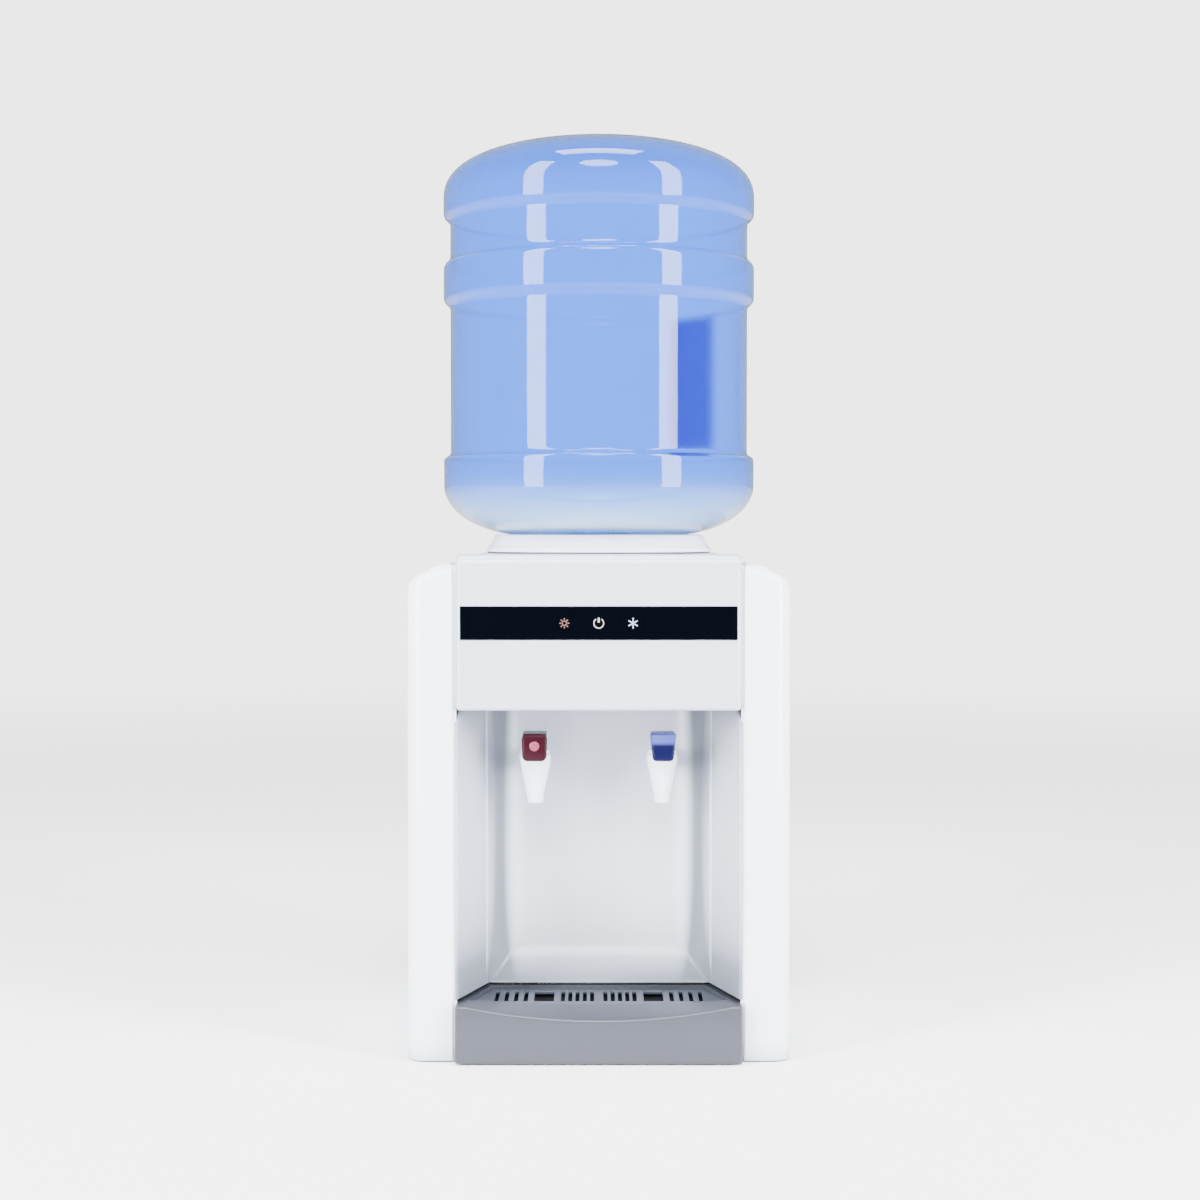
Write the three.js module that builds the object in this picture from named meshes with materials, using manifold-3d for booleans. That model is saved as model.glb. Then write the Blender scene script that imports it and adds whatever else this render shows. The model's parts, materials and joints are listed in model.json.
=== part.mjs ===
// Countertop water dispenser with an inverted bottle, hot and cold taps and a pull-out drip tray.
// Millimetres, +Z up, the front faces -Y, origin on the resting surface under the middle of the body.
import * as THREE from 'three';
import { mergeVertices } from 'three/addons/utils/BufferGeometryUtils.js';
import Module from 'manifold-3d';

const wasm = await Module();
wasm.setup();

// General
const gap = 0.3; // left between pieces that touch
const wall = 2.5; // moulded plastic walls

// Housing
const bodyWidth = 310;
const halfDepth = 161; // drip tray front to the middle, and condenser back to the middle
const pillarInner = 117; // half the space between the two side panels
const pillarFront = -150;
const panelBack = 141.5;
const panelBottom = 1.5;
const cornerRadius = 15; // front outer corner of a side panel
const roofOuter = 384; // panel roof where it starts to curve, at the outer wall
const roofInner = 402; // panel roof at its inner edge
const plateTop = 6; // base plate
const plateBottom = 4;
const footRadius = 11;

// Top cover, fascia and display
const coverTop = 408;
const coverThickness = 3;
const wellRadius = 98;
const fasciaHalfWidth = 114.5;
const fasciaFront = -153;
const fasciaBack = -137.3;
const fasciaBottom = 285;
const fasciaTop = 410.5;
const fasciaWall = 4;
const windowHalfWidth = 111;
const windowBottom = 342;
const windowTop = 368.6;
const windowThickness = 2;
const lampSpacing = 27.5;
const lampHeight = 355.3;
const lampRadius = 2.3;

// Dispensing niche
const nicheFrontHalf = 113.8;
const nicheRidgeHalf = 93; // where the slanted side wall ends in a ridge
const nicheRidgeDepth = -88;
const nicheBackHalf = 60; // flat middle of the back wall
const nicheBack = -45;
const nicheSweep = 35; // radius of the sweep from the back wall to the tray
const nicheBottom = 49;
const nicheTop = 300;
const linerWall = 2.2;

// Drip tray
const trayHalfWidth = 115.6;
const trayBack = -78.5;
const trayTop = 48;
const trayFloor = 9;
const grilleTop = 45;
const grilleThickness = 3;
const grilleFront = -136;
const grilleFrontHalf = 106;
const grilleBack = -84;
const grilleBackHalf = 90;
const scoopHalfWidth = 107;
const scoopDepth = 11.5;
const scoopRise = 8.5; // how far the scoop climbs from the front face to the grille

// Taps
const tapX = 52.5;
const tapY = -105;
const tapShankHeight = 235;
const tapShankRadius = 8;
const spoutBottom = 205;
const barrelBottom = 240;
const barrelTop = 246;
const barrelRadius = 13;
const leverPivotY = -114;
const leverPivotZ = 254;
const leverHalfWidth = 11;
const leverPinRadius = 1.9;

// Bottle, collar and feed
const bottleY = 12;
const bandRadius = 135.5;
const wallRadius = 129.6;
const bottleTop = 767;
const domeHeight = 50;
const shoulderBase = 468.8; // lower edge of the lowest band
const shoulderHeight = 44;
const neckRadius = 27.3;
const neckBottom = 372;
const bottleWall = 2;
const collarRim = 426;
const throatRadius = 31;
const throatBottom = 366;
const probeRadius = 6;

// Tanks and refrigeration
const coldTankY = 35;
const coldTankRadius = 55.5;
const coldTankBottom = 248;
const coldTankTop = 352;
const insulationInner = 64.5;
const insulationOuter = 72;
const hotTankX = -75;
const hotTankY = 66;
const hotTankRadius = 36;
const hotTankTop = 117;
const compressorX = 50;
const compressorY = 72;
const compressorRadius = 48;
const condenserHalfWidth = 118;
const condenserBottom = 130;
const condenserTop = 375;
const condenserRuns = 9;
const condenserTubeRadius = 3;
const drainHeight = 25;
const heatSwitchX = 60;
const coolSwitchX = 92;

const white = { color: 0xe9ecf2, roughness: 0.3, metalness: 0 };
const silver = { color: 0xa6aab4, roughness: 0.35, metalness: 0.3 };
const nicheGrey = { color: 0xcfd5dc, roughness: 0.4, metalness: 0.1 };
const steel = { color: 0xb5b8bb, roughness: 0.3, metalness: 1 };
const blackPlastic = { color: 0x0c1018, roughness: 0.2, metalness: 0 };
const darkPaint = { color: 0x1b1c1e, roughness: 0.5, metalness: 0.2 };
const rubber = { color: 0x2a2b2d, roughness: 0.8, metalness: 0 };
const silicone = { color: 0xdfe3e2, roughness: 0.5, metalness: 0 };
const bottleBlue = { color: 0x9ec0f0, roughness: 0.08, metalness: 0 };

// Geometry to manifold solid: welded, without collapsed triangles, faces outwards.
function solid(geometry) {
  const loose = new THREE.BufferGeometry();
  const source = geometry.index ? geometry.toNonIndexed() : geometry;
  loose.setAttribute('position', source.attributes.position);
  const welded = mergeVertices(loose, 1e-4);
  const at = welded.attributes.position.array;
  const corner = (i) => new THREE.Vector3(at[3 * i], at[3 * i + 1], at[3 * i + 2]);
  const kept = [];
  let volume = 0;
  for (let i = 0; i < welded.index.count; i += 3) {
    const [a, b, c] = welded.index.array.slice(i, i + 3);
    if (a === b || b === c || c === a) continue;
    kept.push([a, b, c]);
    volume += corner(a).dot(corner(b).cross(corner(c)));
  }
  const outwards = volume > 0 ? kept : kept.map(([a, b, c]) => [a, c, b]);
  return new wasm.Manifold(new wasm.Mesh({
    numProp: 3,
    vertProperties: new Float32Array(at),
    triVerts: new Uint32Array(outwards.flat()),
  }));
}

// A named mesh from a manifold solid.
function piece(name, body, look) {
  const mesh = body.getMesh();
  const geometry = new THREE.BufferGeometry();
  geometry.setAttribute('position', new THREE.BufferAttribute(mesh.vertProperties, 3));
  geometry.setIndex(new THREE.BufferAttribute(mesh.triVerts, 1));
  geometry.computeVertexNormals();
  const made = new THREE.Mesh(geometry, new THREE.MeshStandardMaterial(look));
  made.name = name;
  return made;
}

const join = (...bodies) => bodies.reduce((sum, next) => sum.add(next));
const cut = (body, ...tools) => tools.reduce((rest, tool) => rest.subtract(tool), body);

function block(x0, x1, y0, y1, z0, z1) {
  const geometry = new THREE.BoxGeometry(x1 - x0, y1 - y0, z1 - z0);
  return solid(geometry.translate((x0 + x1) / 2, (y0 + y1) / 2, (z0 + z1) / 2));
}

function outline(points) {
  return new THREE.Shape(points.map(([u, v]) => new THREE.Vector2(u, v)));
}

// Extrusions of an outline: in XY upwards, in YZ along X, and in XZ along Y.
function extrude(shape, from, to, first, second, along) {
  const geometry = new THREE.ExtrudeGeometry(shape, { depth: to - from, bevelEnabled: false });
  geometry.translate(0, 0, from);
  return solid(geometry.applyMatrix4(new THREE.Matrix4().makeBasis(first, second, along)));
}
const axisX = new THREE.Vector3(1, 0, 0);
const axisY = new THREE.Vector3(0, 1, 0);
const axisZ = new THREE.Vector3(0, 0, 1);
const extrudeUp = (shape, z0, z1) => extrude(shape, z0, z1, axisX, axisY, axisZ);
const extrudeAcross = (shape, x0, x1) => extrude(shape, x0, x1, axisY, axisZ, axisX);
const extrudeBack = (shape, y0, y1) => extrude(shape, y0, y1, axisX, axisZ, axisY);

// Round bar along an axis, from one end coordinate to the other; u and v are the other two.
function bar(axis, radius, from, to, u, v, sides = 20) {
  const geometry = new THREE.CylinderGeometry(radius, radius, to - from, sides);
  const middle = (from + to) / 2;
  if (axis === 'x') return solid(geometry.rotateZ(Math.PI / 2).translate(middle, u, v));
  if (axis === 'y') return solid(geometry.translate(u, middle, v));
  return solid(geometry.rotateX(Math.PI / 2).translate(u, v, middle));
}

// Turned shape: profile points are [radius, height], about a vertical axis at x, y.
function turned(profile, x, y, sides = 32) {
  const points = profile.map(([r, z]) => new THREE.Vector2(r, z));
  const geometry = new THREE.LatheGeometry(points, sides);
  return solid(geometry.rotateX(Math.PI / 2).translate(x, y, 0));
}

// Closed ring profile between two radii and two heights.
const ring = (inner, outer, z0, z1) => [[inner, z0], [outer, z0], [outer, z1], [inner, z1], [inner, z0]];

// Tube of round section along a smooth curve through points.
function hose(points, radius, steps, sides = 8) {
  const path = new THREE.CatmullRomCurve3(points.map((p) => new THREE.Vector3(...p)));
  const section = new THREE.Shape();
  section.absarc(0, 0, radius, 0, 2 * Math.PI);
  const flat = new THREE.Shape(section.getSpacedPoints(sides).slice(0, sides));
  return solid(new THREE.ExtrudeGeometry(flat, { steps, extrudePath: path, bevelEnabled: false }));
}

// Part of an ellipse or of a squarer superellipse, as points around centre from angle a to angle b.
function curve(centre, radii, a, b, count, power = 2) {
  return Array.from({ length: count + 1 }, (_, i) => {
    const angle = a + ((b - a) * i) / count;
    const bend = (value) => Math.sign(value) * Math.abs(value) ** (2 / power);
    return [centre[0] + radii[0] * bend(Math.cos(angle)), centre[1] + radii[1] * bend(Math.sin(angle))];
  });
}

// Side panel: front pillar, outer wall and sloped roof in one moulding, open to the middle and back.
function sidePanel(name, side) {
  const plan = (inset) => {
    const outer = bodyWidth / 2 - inset;
    const front = pillarFront + inset;
    const r = cornerRadius - inset;
    const corner = curve([outer - r, front + r], [r, r], 0, -Math.PI / 2, 5);
    return { corner, outer, front };
  };
  const roof = (inset, reach) => [
    [side * (bodyWidth / 2 - inset), panelBottom - (inset ? 1 : 0)],
    [side * (bodyWidth / 2 - inset), roofOuter - inset],
    [side * (bodyWidth / 2 - 2.5 - inset), roofOuter + 6 - inset],
    [side * (bodyWidth / 2 - 9), roofOuter + 10 - inset],
    [side * pillarInner, roofInner - inset],
    [side * reach, roofInner - inset],
    [side * reach, panelBottom - (inset ? 1 : 0)],
  ];
  const skin = plan(0);
  const hollow = plan(wall);
  const flip = (points) => outline(points.map(([x, y]) => [side * x, y]));
  const outside = extrudeUp(flip([[skin.outer, panelBack], ...skin.corner, [pillarInner, skin.front],
    [pillarInner, panelBack]]), panelBottom, roofInner)
    .intersect(extrudeBack(outline(roof(0, pillarInner)), pillarFront, panelBack));
  const lip = pillarInner + wall; // inner return of the pillar
  const inside = extrudeUp(flip([[hollow.outer, panelBack + 1], ...hollow.corner, [lip, hollow.front],
    [lip, hollow.front + 20], [pillarInner - 1, hollow.front + 20], [pillarInner - 1, panelBack + 1]]),
  panelBottom - 1, roofInner)
    .intersect(extrudeBack(outline(roof(wall, pillarInner - 1)), pillarFront, panelBack + 1));
  return piece(name, cut(outside, inside), white);
}

function basePlate() {
  const halfWidth = bodyWidth / 2 - wall - gap;
  const front = pillarFront + wall + gap;
  const back = panelBack - wall - gap;
  const chamfer = 13;
  const sheet = extrudeUp(outline([[-halfWidth, back], [-halfWidth, front + chamfer],
    [-halfWidth + chamfer, front + gap], [halfWidth - chamfer, front + gap], [halfWidth, front + chamfer],
    [halfWidth, back]]), plateBottom, plateTop);
  const notch = block(1, 4.5, front - 1, front + 24, plateBottom - 1, plateTop + 1);
  const pillarReturns = [-1, 1].map((side) => {
    const start = side < 0 ? -pillarInner - 4 : pillarInner - 1.5;
    return notch.translate([start, 0, 0]);
  });
  return piece('base_plate', cut(sheet, ...pillarReturns), darkPaint);
}

function feet() {
  const places = { foot_front_left: [-128, -118], foot_front_right: [128, -118],
    foot_rear_left: [-128, 115], foot_rear_right: [128, 115] };
  return Object.entries(places).map(([name, [x, y]]) => {
    const profile = [[0, 0], [footRadius - 2, 0], [footRadius, 1.5], [footRadius, plateBottom - gap],
      [0, plateBottom - gap]];
    return piece(name, turned(profile, x, y, 20), rubber);
  });
}

function rearCover() {
  const half = bodyWidth / 2 - wall - gap;
  const back = panelBack;
  const sheet = extrudeBack(outline([[-half, 8], [half, 8], [half, 380], [pillarInner, 398],
    [-pillarInner, 398], [-half, 380]]), back - 2.5, back);
  const slots = [];
  for (const side of [-1, 1]) {
    for (let row = 0; row < 9; row += 1) {
      const z = 150 + row * 24;
      const x = side * 80;
      slots.push(block(x - 45, x + 45, back - 4, back + 1, z, z + 5));
    }
  }
  const switchHoles = [heatSwitchX, coolSwitchX].map(
    (x) => block(x - 10.3, x + 10.3, back - 4, back + 1, 64.7, 95.3));
  const inletHole = block(74.7, 105.3, back - 4, back + 1, 19.7, 44.3);
  const drainHole = bar('y', 7.6, back - 4, back + 1, hotTankX, drainHeight);
  return piece('rear_cover', cut(sheet, ...slots, ...switchHoles, inletHole, drainHole), darkPaint);
}

function topCover() {
  const half = pillarInner - gap;
  const front = fasciaBack + gap;
  const back = panelBack - wall - gap;
  const outside = block(-half, half, front, back, 396, coverTop);
  const under = block(-half + wall, half - wall, front - 1, back - wall, 395, coverTop - coverThickness);
  const well = bar('z', wellRadius, 390, 420, 0, bottleY, 36);
  return piece('top_cover', cut(outside, under, well), white);
}

function fascia() {
  const face = [[fasciaBack, fasciaBottom], [fasciaFront + 3, fasciaBottom], [fasciaFront, fasciaBottom + 3],
    ...curve([fasciaFront + 9, fasciaTop - 9], [9, 9], Math.PI, Math.PI / 2, 5), [fasciaBack, fasciaTop]];
  const hollow = [[fasciaBack + 1, fasciaBottom + wall], [fasciaFront + fasciaWall, fasciaBottom + wall],
    [fasciaFront + fasciaWall, fasciaTop - 9], [fasciaFront + 9, fasciaTop - wall],
    [fasciaBack + 1, fasciaTop - wall]];
  const recess = block(-windowHalfWidth - gap, windowHalfWidth + gap, fasciaFront - 1,
    fasciaFront + windowThickness, windowBottom - gap, windowTop + gap);
  const lampHoles = [-1, 0, 1].map((i) => bar('y', lampRadius + gap, fasciaFront - 1,
    fasciaFront + fasciaWall + 1, i * lampSpacing, lampHeight, 12));
  const shell = cut(extrudeAcross(outline(face), -fasciaHalfWidth, fasciaHalfWidth),
    extrudeAcross(outline(hollow), wall - fasciaHalfWidth, fasciaHalfWidth - wall), recess, ...lampHoles);
  return piece('front_fascia', shell, white);
}

function display() {
  const front = fasciaFront - 0.2;
  const windowBack = fasciaFront + windowThickness - gap;
  const pane = piece('display_window', block(-windowHalfWidth, windowHalfWidth, front, windowBack,
    windowBottom, windowTop), blackPlastic);
  const boardFront = fasciaFront + fasciaWall + 3;
  const board = piece('indicator_board', block(-42, 42, boardFront, boardFront + 1.6,
    lampHeight - 9, lampHeight + 9), { color: 0x1f6b3a, roughness: 0.5, metalness: 0 });
  const lights = [['heat_lamp', 0xd86a5a], ['power_lamp', 0xf0e6b0], ['cool_lamp', 0x9fc6f2]];
  const lamps = lights.map(([name, color], i) => {
    const x = (i - 1) * lampSpacing;
    const stem = bar('y', lampRadius, windowBack + gap, boardFront - gap, x, lampHeight, 12);
    const flange = bar('y', lampRadius + 1, boardFront - 2, boardFront - gap, x, lampHeight, 12);
    return piece(name, join(stem, flange), { color, roughness: 0.2, metalness: 0 });
  });
  return [pane, board, ...lamps];
}

// Plan outline of the niche: slanted sides to a ridge, rounded corners, flat middle.
function nichePlan(grow, front) {
  const slant = [[nicheFrontHalf + grow, front], [nicheRidgeHalf + grow, nicheRidgeDepth]];
  const cornerHalf = nicheRidgeHalf - 1 - nicheBackHalf;
  const corner = curve([nicheBackHalf, nicheRidgeDepth],
    [cornerHalf + grow, nicheBack - nicheRidgeDepth + grow], 0, Math.PI / 2, 6);
  const right = [...slant, ...corner];
  const left = right.map(([x, y]) => [-x, y]).reverse();
  return outline([...right, ...left]);
}

// Side profile of the niche: back wall with a round sweep at its foot.
function nicheSide(grow, front, floor, roof) {
  const foot = curve([nicheBack - nicheSweep, nicheBottom + linerWall + nicheSweep],
    [nicheSweep + grow, nicheSweep + grow], -Math.PI / 2, 0, 6);
  return outline([[front, floor], ...foot, [nicheBack + grow, roof], [front, roof]]);
}

function nicheLiner() {
  const front = pillarFront + 1;
  const outside = extrudeUp(nichePlan(linerWall, front), nicheBottom, nicheTop)
    .intersect(extrudeAcross(nicheSide(linerWall, front, nicheBottom, nicheTop), -130, 130));
  const inside = extrudeUp(nichePlan(0, front - 2), nicheBottom - 1, nicheTop - linerWall)
    .intersect(extrudeAcross(
      nicheSide(0, front - 2, nicheBottom + linerWall, nicheTop - linerWall), -130, 130));
  const footOpening = extrudeUp(nichePlan(0, front - 2), nicheBottom - 1, nicheBottom + linerWall + 0.1)
    .intersect(block(-130, 130, front - 2, nicheBack - nicheSweep, nicheBottom - 1, nicheBottom + 4));
  const fasciaRoom = block(-130, 130, front - 2, fasciaBack + 0.5, fasciaBottom - 0.6, nicheTop + 1);
  const tapHoles = [-1, 1].map((side) => bar('y', tapShankRadius + gap, nicheBack - 3, nicheBack + 6,
    side * tapX, tapShankHeight));
  return piece('niche_liner', cut(outside, inside, footOpening, fasciaRoom, ...tapHoles), nicheGrey);
}

function grilleOutline(grow) {
  const back = grilleBack + grow;
  const front = grilleFront - grow;
  return outline([[-grilleFrontHalf - grow, front], [grilleFrontHalf + grow, front],
    [grilleBackHalf + grow, back - 4], [grilleBackHalf + grow, back],
    [-grilleBackHalf - grow, back], [-grilleBackHalf - grow, back - 4]]);
}

function dripTray() {
  const front = -halfDepth;
  const main = block(-trayHalfWidth, trayHalfWidth, pillarFront - 1, trayBack, plateTop + gap, trayTop);
  const skirt = block(-trayHalfWidth, trayHalfWidth, front, pillarFront, panelBottom, trayTop);
  const seat = extrudeUp(grilleOutline(0.4), grilleTop - grilleThickness - gap, trayTop + 1);
  const bowl = extrudeUp(grilleOutline(-3), trayFloor, trayTop);
  const run = grilleFront - front;
  const tilt = Math.atan2(scoopRise, run);
  const radius = (scoopHalfWidth ** 2 + scoopDepth ** 2) / (2 * scoopDepth);
  const spread = Math.asin((scoopHalfWidth + 14) / radius);
  const arc = curve([0, radius], [radius, radius], -Math.PI / 2 - spread, -Math.PI / 2 + spread, 12);
  const segment = new THREE.ExtrudeGeometry(outline([...arc, [scoopHalfWidth + 14, 60],
    [-scoopHalfWidth - 14, 60]]), { depth: 80, bevelEnabled: false });
  segment.translate(0, 0, -40).rotateX(Math.PI / 2 + tilt).translate(0, front, trayTop - scoopDepth);
  const scoop = solid(segment).intersect(block(-200, 200, front - 5, grilleFront - 0.4, 0, 80));
  return piece('drip_tray', cut(join(main, skirt), seat, bowl, scoop), silver);
}

function trayGrille() {
  const plate = extrudeUp(grilleOutline(0), grilleTop - grilleThickness, grilleTop);
  const [front, back] = [grilleFront + 8, grilleBack - 8];
  const openings = [];
  for (const side of [-1, 1]) {
    for (let i = 0; i < 5; i += 1) {
      const x = side * (5.5 + i * 6);
      openings.push(block(x - 1.6, x + 1.6, front, back, grilleTop - 5, grilleTop + 1));
    }
    openings.push(block(side * 45 - 8, side * 45 + 8, front, back, grilleTop - 5, grilleTop + 1));
    for (let i = 0; i < 4; i += 1) {
      const x = side * (60 + i * 8);
      openings.push(block(x - 1.6, x + 1.6, front, back, grilleTop - 5, grilleTop + 1));
    }
  }
  return piece('tray_grille', cut(plate, ...openings), { color: 0x5b616b, roughness: 0.4, metalness: 0.3 });
}

// Tap body: tapered spout, barrel and a shank through the niche wall, bored through.
function tapBody(name, x) {
  const barrel = turned([[0, spoutBottom], [6.5, spoutBottom], [barrelRadius, barrelBottom],
    [barrelRadius, barrelTop], [0, barrelTop]], x, tapY, 24);
  const shank = bar('y', tapShankRadius, tapY, -20, x, tapShankHeight);
  const washer = bar('y', tapShankRadius + 2, nicheBack - 3.6, nicheBack - 0.9, x, tapShankHeight);
  const bore = turned([[0, spoutBottom - 1], [4, spoutBottom - 1], [4, 224], [9, 229], [9, barrelTop + 1],
    [0, barrelTop + 1]], x, tapY, 20);
  const passage = bar('y', 4.5, tapY, -19, x, tapShankHeight, 16);
  return piece(name, cut(join(barrel, shank, washer), bore, passage), white);
}

function tapNut(name, x) {
  const hexagon = bar('y', 13, nicheBack + linerWall + gap, nicheBack + linerWall + 6, x, tapShankHeight, 6);
  const hole = bar('y', tapShankRadius + gap, nicheBack, nicheBack + 12, x, tapShankHeight);
  return piece(name, cut(hexagon, hole), white);
}

function tapBonnet(name, x) {
  const bottom = barrelTop + gap;
  const top = barrelTop + 3;
  const disc = turned([[0, bottom], [12.5, bottom], [11.5, top], [0, top]], x, tapY, 24);
  const earSolids = [-1, 1].map((side) => {
    const inner = x + side * 5.5;
    const outer = x + side * 8;
    return block(Math.min(inner, outer), Math.max(inner, outer), leverPivotY - 2.6, leverPivotY + 3.5,
      top - 1, leverPivotZ + 3);
  });
  const stemHole = bar('z', 2.8, bottom - 1, top + 1, x, tapY, 16);
  const pinHole = bar('x', leverPinRadius + gap, x - 12, x + 12, leverPivotY, leverPivotZ, 16);
  return piece(name, cut(join(disc, ...earSolids), stemHole, pinHole), white);
}

// Push lever: sloped paddle with a roof, and a forked tongue that lifts the plunger.
function tapLever(name, x, look, hasButton) {
  const hood = outline([[-129.5, 241.5], [-123.5, 241.5], [-123.5, 255], [-121, 261], [-100, 261],
    [-100, 264], [-123.5, 264], [-129.5, 255]]);
  const front = outline([[x - leverHalfWidth, 264.5], [x - leverHalfWidth + 2.5, 241],
    [x + leverHalfWidth - 2.5, 241],
    [x + leverHalfWidth, 264.5]]);
  const shell = extrudeAcross(hood, x - leverHalfWidth, x + leverHalfWidth)
    .intersect(extrudeBack(front, -135, -95));
  const tongue = block(x - 4.8, x + 4.8, -124.5, -99.5, 251.5, 256.5);
  const fork = block(x - 2.8, x + 2.8, tapY - 3.5, -98, 250, 258);
  const pinHole = bar('x', leverPinRadius + gap, x - 12, x + 12, leverPivotY, leverPivotZ, 16);
  const tools = [fork, pinHole];
  if (hasButton) tools.push(block(x - 4.8, x + 4.8, -135, -125, 249.7, 258.3));
  return piece(name, cut(join(shell, tongue), ...tools), look);
}

function leverPin(name, x) {
  return piece(name, bar('x', leverPinRadius, x - 8.4, x + 8.4, leverPivotY, leverPivotZ, 16), steel);
}

// Plunger: seal foot on its seat, thin stem through the bonnet, head above the lever's fork.
function tapPlunger(name, x) {
  const profile = [[0, 229.4], [5, 229.4], [8, 231], [8, 233], [2.2, 233], [2.2, 257.2], [4.2, 257.2],
    [4.2, 258.8], [0, 258.8]];
  return piece(name, turned(profile, x, tapY, 16), silicone);
}

function tapSpring(name, x) {
  const turns = 4;
  const points = Array.from({ length: turns * 8 + 1 }, (_, i) => {
    const angle = (i * Math.PI) / 4;
    return [x + 5 * Math.cos(angle), tapY + 5 * Math.sin(angle), 234.2 + (11 * i) / (turns * 8)];
  });
  return piece(name, hose(points, 0.5, 32, 4), steel);
}

function safetyButton() {
  return piece('hot_safety_button', block(-tapX - 4.4, -tapX + 4.4, -131, -126.8, 250.1, 257.9),
    { color: 0xe58c98, roughness: 0.35, metalness: 0 });
}

function taps() {
  const kinds = [['hot', -tapX, { color: 0x7a1030, roughness: 0.3, metalness: 0 }],
    ['cold', tapX, { color: 0x2a3fb0, roughness: 0.3, metalness: 0 }]];
  return kinds.flatMap(([kind, x, look]) => [
    tapBody(`${kind}_tap_body`, x), tapNut(`${kind}_tap_nut`, x), tapBonnet(`${kind}_tap_bonnet`, x),
    tapLever(`${kind}_tap_lever`, x, look, kind === 'hot'), leverPin(`${kind}_lever_pin`, x),
    tapPlunger(`${kind}_tap_plunger`, x), tapSpring(`${kind}_tap_spring`, x),
  ]);
}

// Collar: flared outer wall, rim for the bottle's shoulder, funnel and throat for its neck.
function bottleCollar() {
  const skin = [[104, coverTop + gap], [104, coverTop + 2.3], [99, coverTop + 3.5], [95, coverTop + 9],
    [91.5, collarRim - 2], [89, collarRim], [84, collarRim]];
  const funnel = [[79, 422.5], [60, 417.8], [42, 410], [throatRadius, 401], [throatRadius, throatBottom]];
  const under = [[throatRadius + wall, throatBottom], [throatRadius + wall, 399.8], [44, 407.3], [61, 415.1],
    [79.5, 419.7], [85.5, 422.6], [88.5, 422], [92, coverTop + 8], [95.5, coverTop + gap]];
  const profile = [...skin, ...funnel, ...under, skin[0]];
  return piece('bottle_collar', turned(profile, 0, bottleY, 28), white);
}

// Feed probe: base disc in the collar's throat, spigot into the tank lid, hollow spike into the cap.
function feedProbe() {
  const bore = 3.4;
  const base = throatBottom + 1;
  const outer = [[bore, 350], [8, 350], [8, base], [throatRadius - gap, base], [throatRadius - gap, base + 3],
    [probeRadius, base + 3], [probeRadius, 392], [bore, 398], [bore, 350]];
  return piece('feed_probe', turned(outer, 0, bottleY, 24), blackPlastic);
}

function collarSeal() {
  return piece('feed_seal', turned(ring(8.4, 12, 356.4, throatBottom - 3), 0, bottleY, 24), silicone);
}

// Half section of the bottle's outside, from the neck rim up to the middle of the dome.
function bottleProfile(inset, steps) {
  const band = bandRadius - inset;
  const side = wallRadius - inset;
  const shoulder = curve([60, shoulderBase], [76 - inset, shoulderHeight - inset], -Math.PI / 2, 0, steps);
  const dome = curve([0, bottleTop - domeHeight], [band, domeHeight - inset], 0, Math.PI / 2, steps, 2.4);
  const lean = inset * 0.5;
  return [
    [neckRadius - inset, neckBottom], [neckRadius - inset, 404 + lean], [30 - lean, 409 + inset],
    [40, 417 + inset], ...shoulder,
    [band, 489], [side, 500], [side, 618], [band, 632], [band, 655], [side, 667], [side, 690],
    [band, 706], ...dome,
  ];
}

function bottle() {
  const profile = [...bottleProfile(bottleWall, 5).reverse(), ...bottleProfile(0, 7)];
  profile[0][0] = 0;
  profile[profile.length - 1][0] = 0;
  return piece('bottle', turned(profile, 0, bottleY, 28), bottleBlue);
}

function bottleCap() {
  const profile = [[6.6, 370.5], [28.6, 370.5], [29.3, 372], [29.3, 392], [27.7, 392], [27.7, 371.7],
    [6.6, 371.7], [6.6, 370.5]];
  const capBlue = { color: 0xdfe6f2, roughness: 0.4, metalness: 0 };
  return piece('bottle_cap', turned(profile, 0, bottleY, 28), capBlue);
}

function coldTank() {
  const inner = coldTankRadius - 1.2;
  const floor = coldTankBottom + 1.2;
  const cup = [[0, coldTankBottom], [coldTankRadius, coldTankBottom], [coldTankRadius, coldTankTop],
    [inner, coldTankTop], [inner, floor], [0, floor]];
  const lid = cut(turned([[0, coldTankTop + gap], [58, coldTankTop + gap], [58, coldTankTop + 4],
    [0, coldTankTop + 4]], 0, coldTankY), bar('z', 8.4, 340, 370, 0, bottleY));
  const disc = turned(ring(9, inner - 1, 296, 298), 0, coldTankY);
  const jacketRing = ring(insulationInner, insulationOuter, coldTankBottom, coldTankTop - 2);
  const jacket = turned(jacketRing, 0, coldTankY);
  const turns = 4;
  const coil = Array.from({ length: turns * 12 + 1 }, (_, i) => {
    const angle = (i * Math.PI) / 6;
    const radius = (coldTankRadius + insulationInner) / 2;
    const height = coldTankBottom + 14 + (72 * i) / (turns * 12);
    return [radius * Math.cos(angle), coldTankY + radius * Math.sin(angle), height];
  });
  return [
    piece('cold_tank', turned(cup, 0, coldTankY), steel),
    piece('tank_lid', lid, white),
    piece('baffle_disc', disc, white),
    piece('tank_insulation', jacket, { color: 0xd9d4c6, roughness: 0.9, metalness: 0 }),
    piece('cooling_coil', hose(coil, 2.4, 56, 5), { color: 0xb26b42, roughness: 0.35, metalness: 1 }),
  ];
}

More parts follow.
